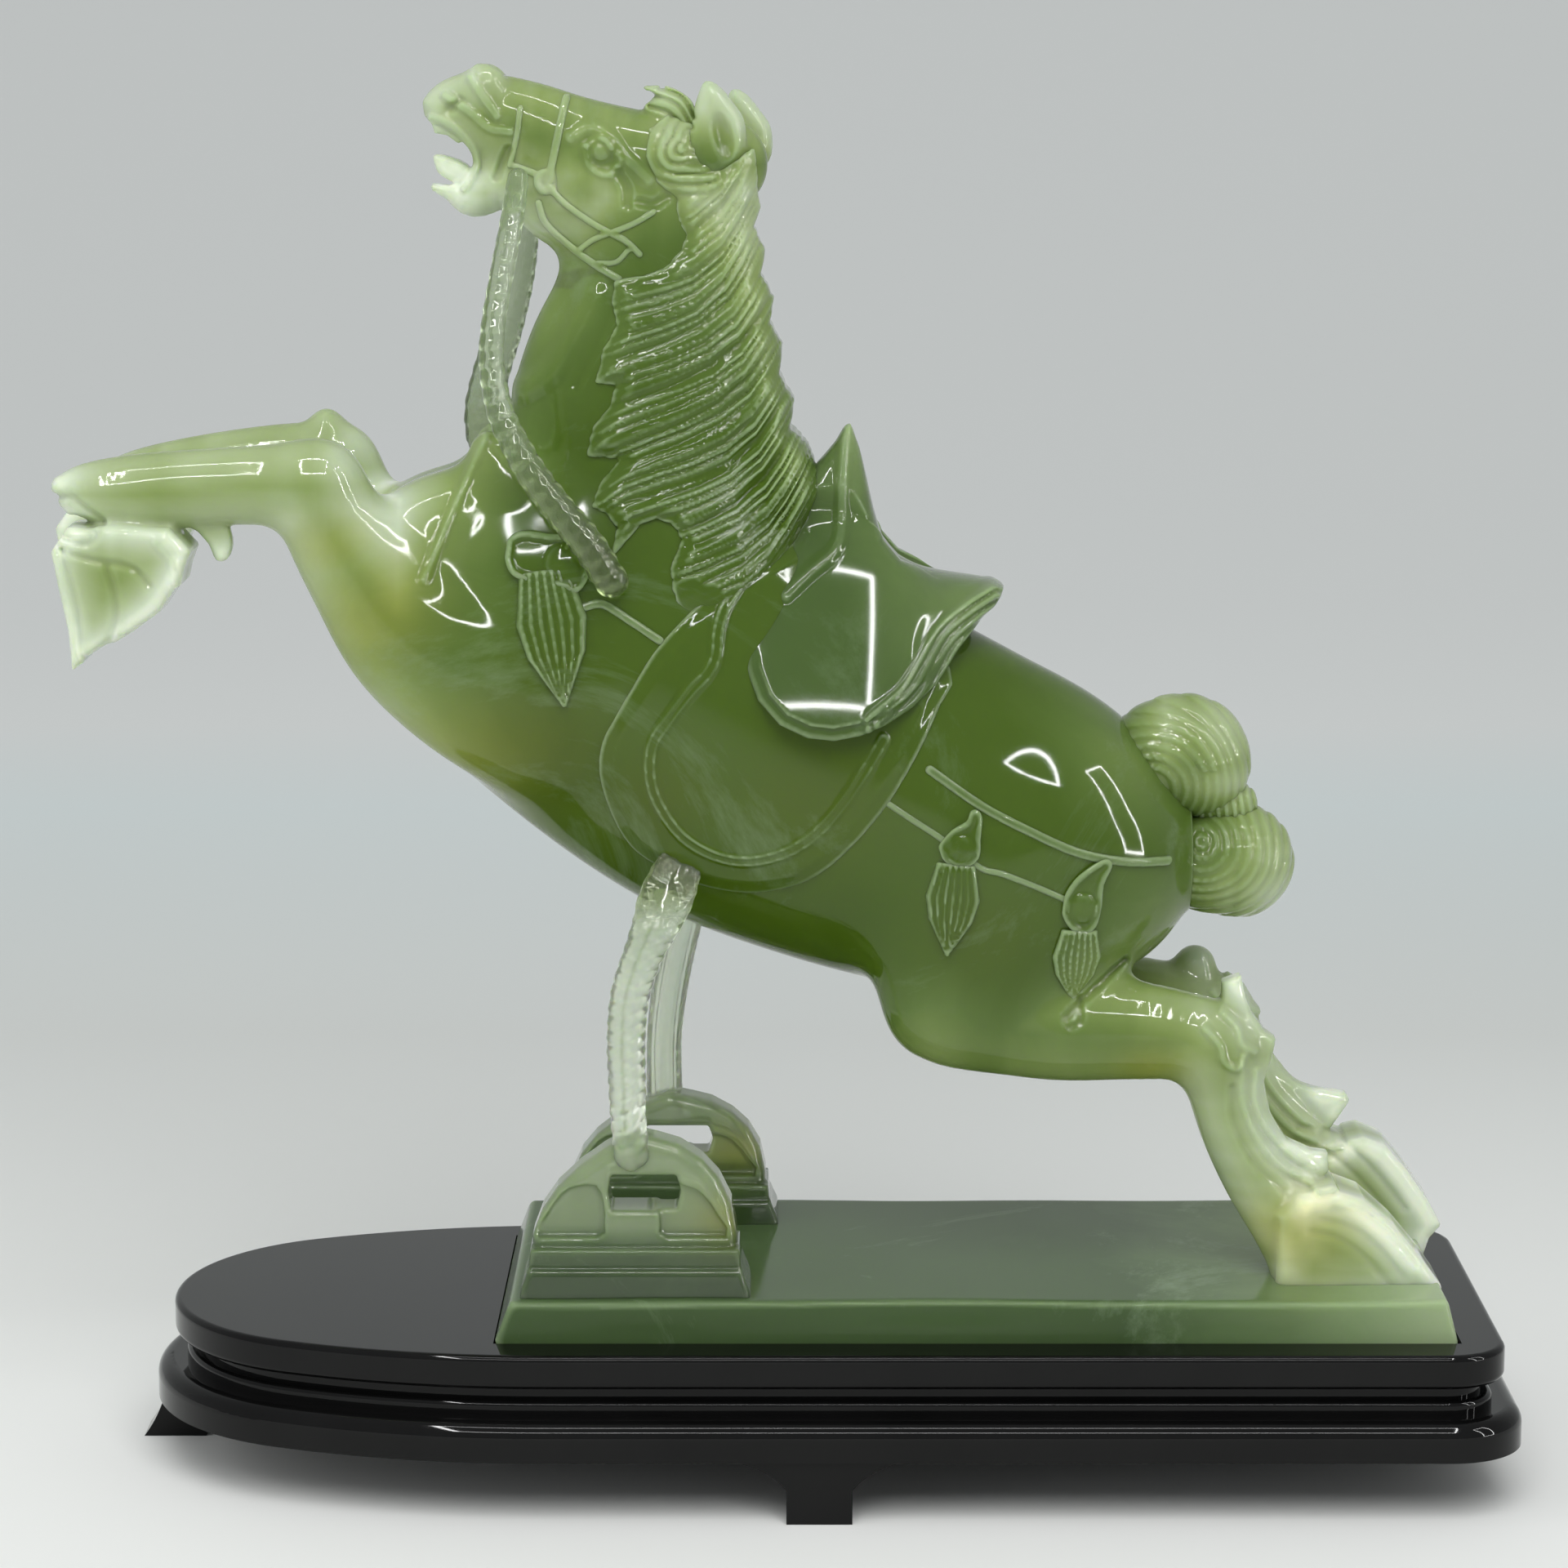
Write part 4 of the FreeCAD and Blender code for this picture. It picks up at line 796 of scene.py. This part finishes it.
NEAR_LEATHER = [
    (-23.0, 20.4, 140.5, 2.8, 1.0), (-25.2, 23.6, 135.4, 5.0, 1.5), (-27.8, 27.1, 129.5, 5.7, 2.6),
    (-29.6, 29.2, 125, 5.0, 3.6), (-32.4, 30.3, 118.5, 4.2, 3.8), (-35.2, 31, 110, 4.1, 3.7),
    (-36.2, 31, 100, 4.0, 3.6), (-36.0, 31.4, 90, 3.9, 3.5), (-35.8, 33.2, 84, 3.7, 3.2),
    (-35.3, 35, 79, 3.7, 2.6), (-35.1, 34.6, 75.6, 3.6, 2.0)]
FAR_LEATHER = [
    (-18, 22, 143, 7, 1.0), (-20.3, 27, 132, 5.6, 2.8), (-22.3, 29, 124, 4.5, 3.4),
    (-25.2, 30.3, 113, 4.2, 3.8), (-28, 31, 100, 4.1, 3.7), (-29.6, 31, 88, 4.0, 3.6),
    (-29.8, 31, 78, 4.0, 3.5), (-29.6, 31, 70, 4.2, 3.4)]


def carve_stirrup(centre, y, squat=1.0):
    """A bell-shaped stirrup standing on the plinth: an arch with sunken panels and a slot, on a stepped tread."""
    block = Block((centre - 27, y - 13, 42), (centre + 27, y + 13, 86), FINE)
    x, yy, z = block.whole()
    z = PLINTH_TOP + (z - PLINTH_TOP) / squat
    dy = np.abs(yy - y)

    def flat(points, smooth=0):
        return polygon(shifted(points, centre, 0), smooth=smooth)(x, z)

    arch = [
        (-22.2, 45), (-22, 57.6), (-20, 63), (-16.6, 68), (-12, 72.4), (-6.5, 76.4), (0, 79.8), (5, 78.6),
        (9.6, 77.2), (14.4, 74), (18, 70), (20.6, 64.6), (21.8, 58), (22, 45)]
    shape = smooth_max(flat(arch), dy - 7.6 + 0.07 * (z - PLINTH_TOP), 3.0)
    step = flat([(-25, 43), (-24.4, 47), (-22.8, 51), (22.8, 51), (24.4, 47), (25, 43)])
    shape = smooth_min(shape, smooth_max(step, dy - 9.8 + 0.5 * step_up((z - 44) / 7), 1.4), 1.2)
    upper = flat([(-22.9, 49), (-22.4, 55.2), (22.4, 55.2), (22.9, 49)])
    shape = smooth_min(shape, smooth_max(upper, dy - 8.4, 1.0), 0.8)
    slot = flat([(-4.6, 63.8), (-5.2, 67), (-4.6, 70.2), (8.4, 70.2), (9.2, 67), (8.4, 63.8)]) - 0.6
    shape = smooth_max(shape, -slot, 1.6)
    panel = [(-20.6, 57.4), (-19, 62), (-15.6, 66.8), (-12.6, 68.4), (-8.4, 68.6), (-6.8, 65), (-6.6, 60), (-8, 57.4)]
    for points in (panel, [(-x - 1.2, z) for x, z in panel]):
        sunk = smooth_max(flat(points, smooth=2), -(dy - 4.6), 1.0)
        shape = smooth_max(shape, -sunk, 1.0)
    return block, single(shape)


def carve_tail():
    block = Block((66, -18, 116), (114, 18, 174), FINE)
    x, y, z = block.whole()
    upper = Limb([(72, 156, 6, 9), (79, 156.5, 11, 11.5), (85, 156.5, 13, 12), (88, 154, 11, 11)])
    lower = Limb([(80, 134, 8, 9), (88, 133, 10.5, 11), (96.5, 133, 12.4, 12)])
    tie = Limb([(90, 147, 5.2, 6), (95.5, 145.5, 5, 6)])
    r = np.sqrt((x - 76) ** 2 + (z - 150) ** 2)
    a = upper.at(x, y, z) - 0.4 * waves(r / 2.3 + 0.2 * np.sin(0.2 * x), 0.8)
    r = np.sqrt((x - 88) ** 2 + (z - 139) ** 2)
    b = lower.at(x, y, z) - 0.4 * waves(r / 2.3 + 0.2 * np.sin(0.23 * z), 0.8)
    c = tie.at(x, y, z) - 0.5 * waves(x / 1.8 + 0.1 * z, 0.8)
    fields = {"tail_upper_bun": a, "tail_lower_bun": b, "tail_tie": c}
    return {name: (block, single(field)) for name, field in fields.items()}


def carve_plinth():
    block = Block((-68, -45, 31), (146, 45, 49), STEP)
    x, y, z = block.whole()
    ends = polygon([(-62.5, 33), (-64.4, 36), (-60.8, 45.6), (139.2, 45.6), (141.6, 36), (141.4, 33)])(x, z)
    plan = np.abs(y) - 42 + 0.04 * (z - 33) + 0.5 * np.sin(0.05 * x) * step_up((z - 38) / 6)
    wave = 0.5 * np.sin(0.043 * x + 0.6) + 0.4 * np.sin(0.11 * x + 0.05 * y)
    shape = smooth_max(ends, plan, 1.6)
    shape = smooth_max(shape, z - 45.3 - 0.35 * wave, 1.8)
    return block, single(shape)


# ------------------------------ materials
MIX_BASE, MIX_COLOUR, MIX_RESULT = 6, 7, 2  # the colour sockets of a mix node


def node(tree, kind, sockets, **settings):
    """A new node whose sockets each get a constant or the output that feeds them."""
    made = tree.nodes.new(kind)
    for key, value in settings.items():
        setattr(made, key, value)
    for key, value in sockets.items():
        if isinstance(value, bpy.types.NodeSocket):
            tree.links.new(value, made.inputs[key])
        else:
            made.inputs[key].default_value = value
    return made


def mixed(tree, factor, base, colour, **settings):
    sockets = {"Factor": factor, MIX_BASE: base, MIX_COLOUR: (*colour, 1)}
    return node(tree, "ShaderNodeMix", sockets, data_type="RGBA", **settings).outputs[MIX_RESULT]


def ramped(tree, value, stops):
    """The colour at a value between (position, colour) stops."""
    ramp = node(tree, "ShaderNodeValToRGB", {"Fac": value})
    elements = ramp.color_ramp.elements
    while len(elements) < len(stops):
        elements.new(0.5)
    for element, (at, colour) in zip(elements, stops):
        element.position, element.color = at, (*colour, 1)
    return ramp.outputs["Color"]


def new_material(name, **constants):
    mat = bpy.data.materials.new(name)
    mat.use_nodes = True
    shader = mat.node_tree.nodes["Principled BSDF"]
    for key, value in constants.items():
        shader.inputs[key.replace("_", " ")].default_value = value
    place = node(mat.node_tree, "ShaderNodeTexCoord", {}).outputs["Object"]
    return mat, mat.node_tree, shader, place


STONE_DEPTHS = [
    (0.0, (0.82, 0.88, 0.74)), (0.15, (0.56, 0.64, 0.48)), (0.34, (0.40, 0.48, 0.27)),
    (0.56, (0.25, 0.33, 0.11)), (0.68, (0.17, 0.245, 0.065)), (0.82, (0.10, 0.165, 0.03)),
    (0.95, (0.065, 0.12, 0.008))]
SADDLE_DEPTHS = [
    (0.0, (0.56, 0.64, 0.48)), (0.34, (0.40, 0.49, 0.29)), (0.56, (0.28, 0.36, 0.16)),
    (0.68, (0.19, 0.27, 0.10)), (0.82, (0.115, 0.18, 0.055)), (0.95, (0.067, 0.118, 0.026))]
PLINTH_DEPTHS = [
    (0.0, (0.56, 0.64, 0.48)), (0.34, (0.42, 0.51, 0.31)), (0.56, (0.31, 0.40, 0.22)),
    (0.68, (0.22, 0.31, 0.15)), (0.82, (0.13, 0.20, 0.085)), (0.95, (0.068, 0.115, 0.042))]


def jade(name, clear=0.0, shine=0.36, rough=0.07, depths=STONE_DEPTHS, misty_share=0.42, edges=0.48):
    """Polished translucent stone: pale where it is thin and deep green where it is thick, with clouds and veins, and
    a painted highlight along its carved ridges.
    """
    mat, tree, shader, place = new_material(
        name, Roughness=rough, IOR=1.5, Specular_IOR_Level=shine, Transmission_Weight=clear, Subsurface_Weight=0.8,
        Subsurface_Radius=(0.8, 1.0, 0.45), Subsurface_Scale=3.0 * MM)

    def kept(attribute):
        return node(tree, "ShaderNodeAttribute", {}, attribute_name=attribute).outputs["Fac"]

    def noise(scale, detail, roughness, distortion):
        sockets = {"Scale": scale, "Detail": detail, "Roughness": roughness, "Distortion": distortion}
        return node(tree, "ShaderNodeTexNoise", {"Vector": place, **sockets}).outputs["Fac"]

    def share_between(value, low, high, most):
        sockets = {"Value": value, "From Min": low, "From Max": high, "To Max": most}
        return node(tree, "ShaderNodeMapRange", sockets).outputs["Result"]

    sockets = {0: noise(26.0, 7.0, 0.6, 0.9), 1: 0.2, 2: kept("thick")}
    cloudy = node(tree, "ShaderNodeMath", sockets, operation="MULTIPLY_ADD").outputs[0]
    depth = node(tree, "ShaderNodeMath", {0: cloudy, 1: 0.1}, operation="SUBTRACT").outputs[0]
    warm = mixed(tree, kept("ochre"), ramped(tree, depth, depths), (1.15, 0.92, 0.25), blend_type="MULTIPLY")
    veins = share_between(noise(11.0, 9.0, 0.72, 2.2), 0.54, 0.78, misty_share)
    misty = mixed(tree, veins, warm, (0.30, 0.40, 0.26))
    # a paler colour on sharp carved ridges is a painted highlight; edges sets how strong it is
    painted_ridge_highlight = mixed(tree, share_between(kept("edge"), 0.10, 0.60, edges), misty, (0.36, 0.46, 0.28))
    tree.links.new(painted_ridge_highlight, shader.inputs["Base Color"])
    return mat


def lacquer():
    mat, tree, shader, place = new_material("black_lacquer", Roughness=0.045, Specular_IOR_Level=0.22)
    cloud = node(tree, "ShaderNodeTexNoise", {"Vector": place, "Scale": 60.0, "Detail": 5.0})
    black = ramped(tree, cloud.outputs["Fac"], [(0.0, (0.002,) * 3), (1.0, (0.006,) * 3)])
    tree.links.new(black, shader.inputs["Base Color"])
    return mat


GREEN_STONE = jade("green_jade")
GLASSY_STONE = jade("glassy_jade", clear=0.84, shine=0.5, misty_share=0.25, edges=0.2)
MILKY_STONE = jade("milky_jade", 0.45, 0.6, 0.05, PLINTH_DEPTHS, misty_share=0.6, edges=0.3)
COOL_STONE = jade("cool_jade", depths=SADDLE_DEPTHS, misty_share=0.4, edges=0.4)
DULL_STONE = jade("plinth_jade", shine=0.15, rough=0.12, depths=PLINTH_DEPTHS, misty_share=0.6)
BLACK = lacquer()
# a slot name with the stone whose material the piece gets
GREEN, COOL = ("green_jade", GREEN_STONE), ("green_jade", COOL_STONE)
PALE, GLASSY, MILKY = ("pale_jade", GREEN_STONE), ("pale_jade", GLASSY_STONE), ("pale_jade", MILKY_STONE)
DULL = ("plinth_jade", DULL_STONE)


# ------------------------------ how deep the stone is at each vertex
# patches of ochre: their middle (x, z), size and strength
OCHRE = [
    (-56, 163, 20, 0.75), (-30, 152, 16, 0.6), (-86, 190, 14, 0.5), (0, 150, 20, 0.45), (108, 56, 13, 0.5),
    (-13, 60, 9, 0.6), (76, 92, 8, 0.5), (40, 122, 14, 0.35), (-98, 205, 8, 0.3)]
COARSE = Block((-166, -48, 30), (154, 48, 310), 2.0)  # the whole stone
DEPTH_FALL = 0.45  # how much of its depth deep stone loses for each millimetre away
DEEP = 5.0  # the depth, in millimetres, at which stone is nearly dark
MADE = []


def merge(block, field, flip=False):
    """Adds a carved form, or its mirror image, to the coarse whole stone."""
    x, y, z = block.axes
    source, part = Block((0, 0, 0), (1, 1, 1), block.step), Block((0, 0, 0), (1, 1, 1), COARSE.step)
    source.axes = [x, -y[::-1] if flip else y, z]
    source.field = field[:, ::-1] if flip else field
    cut = tuple(slice(int(np.searchsorted(coarse, axis[0])), int(np.searchsorted(coarse, axis[-1], "right")))
                for coarse, axis in zip(COARSE.axes, source.axes))
    part.axes = [axis[s] for axis, s in zip(COARSE.axes, cut)]
    COARSE.field[cut] = np.minimum(COARSE.field[cut], part.copied(source).field)


def spread(depth, fall):
    """Lets deep stone darken the stone near it, losing a little with each millimetre."""
    for axis in (0, 1, 2):
        field = np.moveaxis(depth, axis, 0)
        slope = (np.arange(len(field), dtype=np.float32) * fall * COARSE.step).reshape(-1, 1, 1)
        ahead = np.maximum.accumulate(field + slope, 0) - slope
        behind = (np.maximum.accumulate((field - slope)[::-1], 0))[::-1] + slope
        field[:] = np.maximum(ahead, behind)


def per_vertex(made, name):
    values = np.empty(len(made.data.vertices) * 3, np.float32)
    made.data.vertices.foreach_get(name, values)
    return values.reshape(-1, 3)


def sharpness(made, points):
    """How strongly the surface turns outward at each vertex: 0 on broad forms, rising on carved ridges."""
    quads = SHAPES[made.name][1]
    count = len(points)
    normals = per_vertex(made, "normal")
    a, b = quads.ravel(), np.roll(quads, -1, 1).ravel()
    across = points[b] - points[a]
    length = np.maximum(np.linalg.norm(across, axis=1), 0.1)
    turn = np.clip(np.einsum("ij,ij->i", across, normals[b] - normals[a]) / length**2, -2, 2)
    times = np.maximum(np.bincount(a, minlength=count) + np.bincount(b, minlength=count), 1)
    for _ in range(3):
        mean = (np.bincount(a, turn, count) + np.bincount(b, turn, count)) / times
        turn = (mean[a] + mean[b]) / 2
    return mean


def tint(made, offset, depth):
    """Keeps on each vertex how thick the whole stone is there, from 0 for a thin edge to 1 for the deep trunk."""
    points = per_vertex(made, "co") / MM
    origin = np.array([axis[0] for axis in COARSE.axes], np.float32)
    at = np.clip((points - origin) / COARSE.step, 0, np.array(depth.shape) - 1.001)
    low = at.astype(np.int32)
    share = at - low
    deep = np.zeros(len(points), np.float32)
    for corner in range(8):
        step = np.array([corner & 1, corner >> 1 & 1, corner >> 2])
        deep += np.prod(np.where(step, share, 1 - share), 1) * depth[tuple((low + step).T)]
    warm = np.zeros(len(points), np.float32)
    for x, z, size, most in OCHRE:
        away = np.hypot(points[:, 0] - x, (points[:, 2] - z) * 1.3) / size
        warm = np.maximum(warm, most * np.exp(-away * away))
    thick = offset(points, 1 - np.exp(-deep / DEEP))
    # edge: how sharply the surface turns on each ridge, which the jade paints as a highlight
    for name, values in (("thick", thick), ("ochre", warm), ("edge", sharpness(made, points))):
        made.data.attributes.new(name, "FLOAT", "POINT").data.foreach_set("value", values.astype(np.float32))


def by_x(*stops):
    """How much to add to the thickness along the horse, from (x, amount) stops."""
    return lambda points, value: value + between(stops, points[:, 0])


def set_by(axis, *stops):
    """A thickness read along an axis from stops, however deep the stone is."""
    return lambda points, value: between(stops, points[:, axis])


LEATHER_TONE = set_by(2, (112, 0.0), (124, 0.1), (132, 0.4))
REIN_TONE = set_by(2, (200, 0.5), (215, 0.36), (235, 0.2))  # clear by the head, green where they meet the chest
PLINTH_TONE = set_by(0, (-65, 1.0), (60, 0.98), (105, 0.80), (141, 0.5))  # dark over the lacquer but at its right
STIRRUP_TONE = set_by(2, (48, 0.97), (52, 0.90), (56.5, 0.80), (60, 0.52), (80, 0.36))
TAIL_TONE = by_x((70, -0.06), (110, -0.12))
BODY_TONE = by_x((-150, -0.02), (-100, -0.04), (-85, -0.09), (-66, -0.11), (-48, -0.02), (10, 0.0), (40, 0.05),
                 (80, 0.02), (100, -0.08), (140, -0.18))
HEAD_TONE = by_x((-80, 0.03), (-62, -0.02), (-45, -0.02), (-28, 0.0), (-20, 0.16))
BRIDLE_TONE = by_x((-80, 0.0), (-60, -0.04), (-45, -0.04), (-20, 0.0))
MANE_TONE = by_x((-40, -0.06), (-20, 0.02), (-8, 0.08), (0, 0.04))
SADDLE_TONE = by_x((0, 0.04), (40, 0.02))
OWN_TONE = by_x((0, 0.0))


# ------------------------------ the pieces
def finish_piece(made, stone, nodes, tone):
    slot, material = stone
    MADE.append((made, tone))
    made.data.materials.append(material)
    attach(made, "carving")
    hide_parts(*nodes)


def piece(name, carved, stone, *nodes, tone=OWN_TONE):
    """A piece of the stone from its (block, field); it stands for the CAD node of its own name unless told."""
    merge(*carved)
    finish_piece(mesh_object("carved_" + name, *surface(*carved)), stone, nodes or [name], tone)


def far_copy(name, shape, stone, node_name, tone=OWN_TONE):
    """A piece on the far side: the mirror image of a shape's points and quads."""
    points, quads = shape
    far = mesh_object("carved_" + name, points * np.array([1, -1, 1], np.float32), quads[:, ::-1])
    finish_piece(far, stone, [node_name], tone)


def both_sides(name, carved, stone):
    near, far = "near_" + name, "far_" + name
    piece(near, carved, stone)
    merge(*carved, True)
    far_copy(far, SHAPES["carved_" + near], stone, far)


LEG_NODES = [f"{side}_{part}" for side in ("near", "far") for part in (
    "forearm", "fore_shank", "fore_hoof", "thigh", "gaskin", "hind_shank", "hind_hoof")]
HEAD_NODES = ("head", "muzzle", "lower_jaw", "near_ear", "far_ear", "forelock")
TRUNK_BLOCK = carve_trunk()
piece("horse_body", carve_body(), GREEN, "torso", "neck", *LEG_NODES, tone=BODY_TONE)
head = carve_head()
piece("horse_head", head, GREEN, *HEAD_NODES, tone=HEAD_TONE)
piece("bridle", carve_bridle(head[0]), GREEN, tone=BRIDLE_TONE)
piece("mane", carve_mane(), GREEN, tone=MANE_TONE)
piece("saddle", carve_saddle(), COOL, tone=SADDLE_TONE)
both_sides("saddle_flap", carve_flap(), GREEN)
for strap, (points, half) in STRAPS.items():
    both_sides(strap, carve_strap(points, half), PALE)
for place, (fringe, boss) in TASSELS.items():
    near, far = f"near_{place}_tassel", f"far_{place}_tassel"
    parts = {"tassel": carve_tassel(*fringe), "medallion": carve_medallion(*boss)}
    for kind, carved in parts.items():
        piece(f"near_{place}_{kind}", carved, PALE, near)
    for kind in parts:
        far_copy(f"far_{place}_{kind}", SHAPES[f"carved_near_{place}_{kind}"], PALE, far)
piece("near_rein", carve_rope(REIN, 3.6, (0.1, 0.38), 0.2), GLASSY, tone=REIN_TONE)
far_copy("far_rein", surface(*carve_rope(FAR_REIN, 3.6, (0.1, 0.3), 0.2)), GLASSY, "far_rein", REIN_TONE)
piece("near_stirrup_leather", carve_rope(NEAR_LEATHER, 3.1, (0.2, 0.26), 0.45, 0.12), GLASSY, tone=LEATHER_TONE)
far_copy("far_stirrup_leather", surface(*carve_rope(FAR_LEATHER, 3.1, (0.04, 0.04), 0.3, 0.4)), GLASSY,
         "far_stirrup_leather", LEATHER_TONE)
piece("near_stirrup", carve_stirrup(-34.4, NEAR * 29, 1.0), MILKY, tone=STIRRUP_TONE)
piece("far_stirrup", carve_stirrup(-28.5, FAR * 29, 0.84), MILKY, tone=STIRRUP_TONE)
for name, carved in carve_tail().items():
    piece(name, carved, PALE, tone=TAIL_TONE)
piece("plinth", carve_plinth(), DULL, tone=PLINTH_TONE)

whole_depth = np.maximum(-COARSE.field, 0)
spread(whole_depth, DEPTH_FALL)
for made, tone in MADE:
    tint(made, tone, whole_depth)

for made in frame["nodes"].values():
    if made["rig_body"] == "stand":
        for index in range(len(made.data.materials)):
            made.data.materials[index] = BLACK
        if not made.data.materials:
            made.data.materials.append(BLACK)


# ------------------------------ camera, lights, floor
def link(made, place=(0, 0, 0)):
    bpy.context.scene.collection.objects.link(made)
    made.location = place
    return made


def aim(made, target, axis):
    """Turns an object so that its own axis points at a target."""
    made.rotation_euler = (Vector(target) - made.location).to_track_quat(axis, "Y").to_euler()


def camera(focal_pixels=5470.0, image_width=1920.0, sensor=36.0):
    data = bpy.data.cameras.new("camera")
    data.sensor_fit = "HORIZONTAL"
    data.sensor_width = sensor
    data.lens = focal_pixels / image_width * sensor
    data.clip_end = 20.0
    made = link(bpy.data.objects.new("camera", data), (-0.0025, -0.9606, 0.3192))
    made.rotation_euler = (math.radians(80), 0, 0)
    bpy.context.scene.camera = made


def panel(name, place, size, power):
    """A soft square lamp that leaves no highlight of its own."""
    data = bpy.data.lights.new(name, "AREA")
    data.shape = "RECTANGLE"
    data.size = data.size_y = size
    data.energy = power
    made = link(bpy.data.objects.new(name, data), place)
    aim(made, (0, 0, 0.15), "-Z")
    made.visible_glossy = False


def light_frame(name, place, width, height, bar, strength):
    """Four glowing bars round an empty middle, which glossy stone reflects as a fine bright loop."""
    data = bpy.data.materials.new(name)
    data.use_nodes = True
    tree = data.node_tree
    tree.nodes.clear()
    glow = node(tree, "ShaderNodeEmission", {"Strength": strength})
    node(tree, "ShaderNodeOutputMaterial", {"Surface": glow.outputs[0]})
    corners = [(-1, -1), (1, -1), (1, 1), (-1, 1)]
    points = [(x * (width / 2 - inset), y * (height / 2 - inset), 0) for inset in (0, bar) for x, y in corners]
    mesh = bpy.data.meshes.new(name)
    mesh.from_pydata(points, [], [(i, (i + 1) % 4, 4 + (i + 1) % 4, 4 + i) for i in range(4)])
    mesh.materials.append(data)
    made = link(bpy.data.objects.new(name, mesh), place)
    aim(made, (0, 0, 0.18), "Z")
    made.visible_camera = made.visible_diffuse = made.visible_shadow = False


# the floor's colours paint shade, darker towards the back, and its glow paints light on the far floor and wall
FLOOR_PAINTED_FALLOFF = [
    (0.0, (0.86, 0.87, 0.85)), (0.4, (0.70, 0.72, 0.70)), (0.8, (0.51, 0.55, 0.55)), (1.0, (0.42, 0.45, 0.44))]
FLOOR_GLOW = [(0.4, (0, 0, 0)), (0.8, (0.17, 0.19, 0.19)), (1.0, (0.27, 0.27, 0.27))]


def floor(front=-5.0, back=3.0, rise=5.3, radius=1.6, half=8.0):
    """A wide floor that curves up into a wall far behind, clear of any view round the object; its colour is painted
    shade, pale near the object and darker towards the back, and its far part glows as painted light.
    """
    bend = [math.radians(9 * i) for i in range(11)]
    rows = [(front, 0.0), *[(back - radius + radius * math.sin(a), radius - radius * math.cos(a)) for a in bend],
            (back, rise)]
    mesh = bpy.data.meshes.new("floor")
    faces = [(2 * i, 2 * i + 1, 2 * i + 3, 2 * i + 2) for i in range(len(rows) - 1)]
    mesh.from_pydata([(x, y, z) for y, z in rows for x in (-half, half)], [], faces)
    mesh.polygons.foreach_set("use_smooth", [True] * len(mesh.polygons))
    mat, tree, shader, place = new_material("floor", Roughness=0.9, Emission_Strength=1.0)
    away = node(tree, "ShaderNodeSeparateXYZ", {"Vector": place}).outputs["Y"]
    tree.links.new(ramped(tree, away, FLOOR_PAINTED_FALLOFF), shader.inputs["Base Color"])
    tree.links.new(ramped(tree, away, FLOOR_GLOW), shader.inputs["Emission Color"])
    mesh.materials.append(mat)
    link(bpy.data.objects.new("floor", mesh))


camera()
world = bpy.data.worlds.new("studio")
world.use_nodes = True
world.node_tree.nodes["Background"].inputs["Color"].default_value = (0.42, 0.43, 0.435, 1)
bpy.context.scene.world = world
panel("key", (0.1, -1.0, 1.3), 1.2, 17)
panel("fill", (-1.2, -0.5, 0.6), 1.0, 4)
light_frame("window_light", (0.0, -1.0, 1.5), 1.2, 1.1, 0.036, 52.0)
light_frame("side_light", (1.6, -0.8, 0.8), 0.6, 1.7, 0.034, 48.0)
floor()
bpy.context.scene.view_settings.view_transform = "Standard"
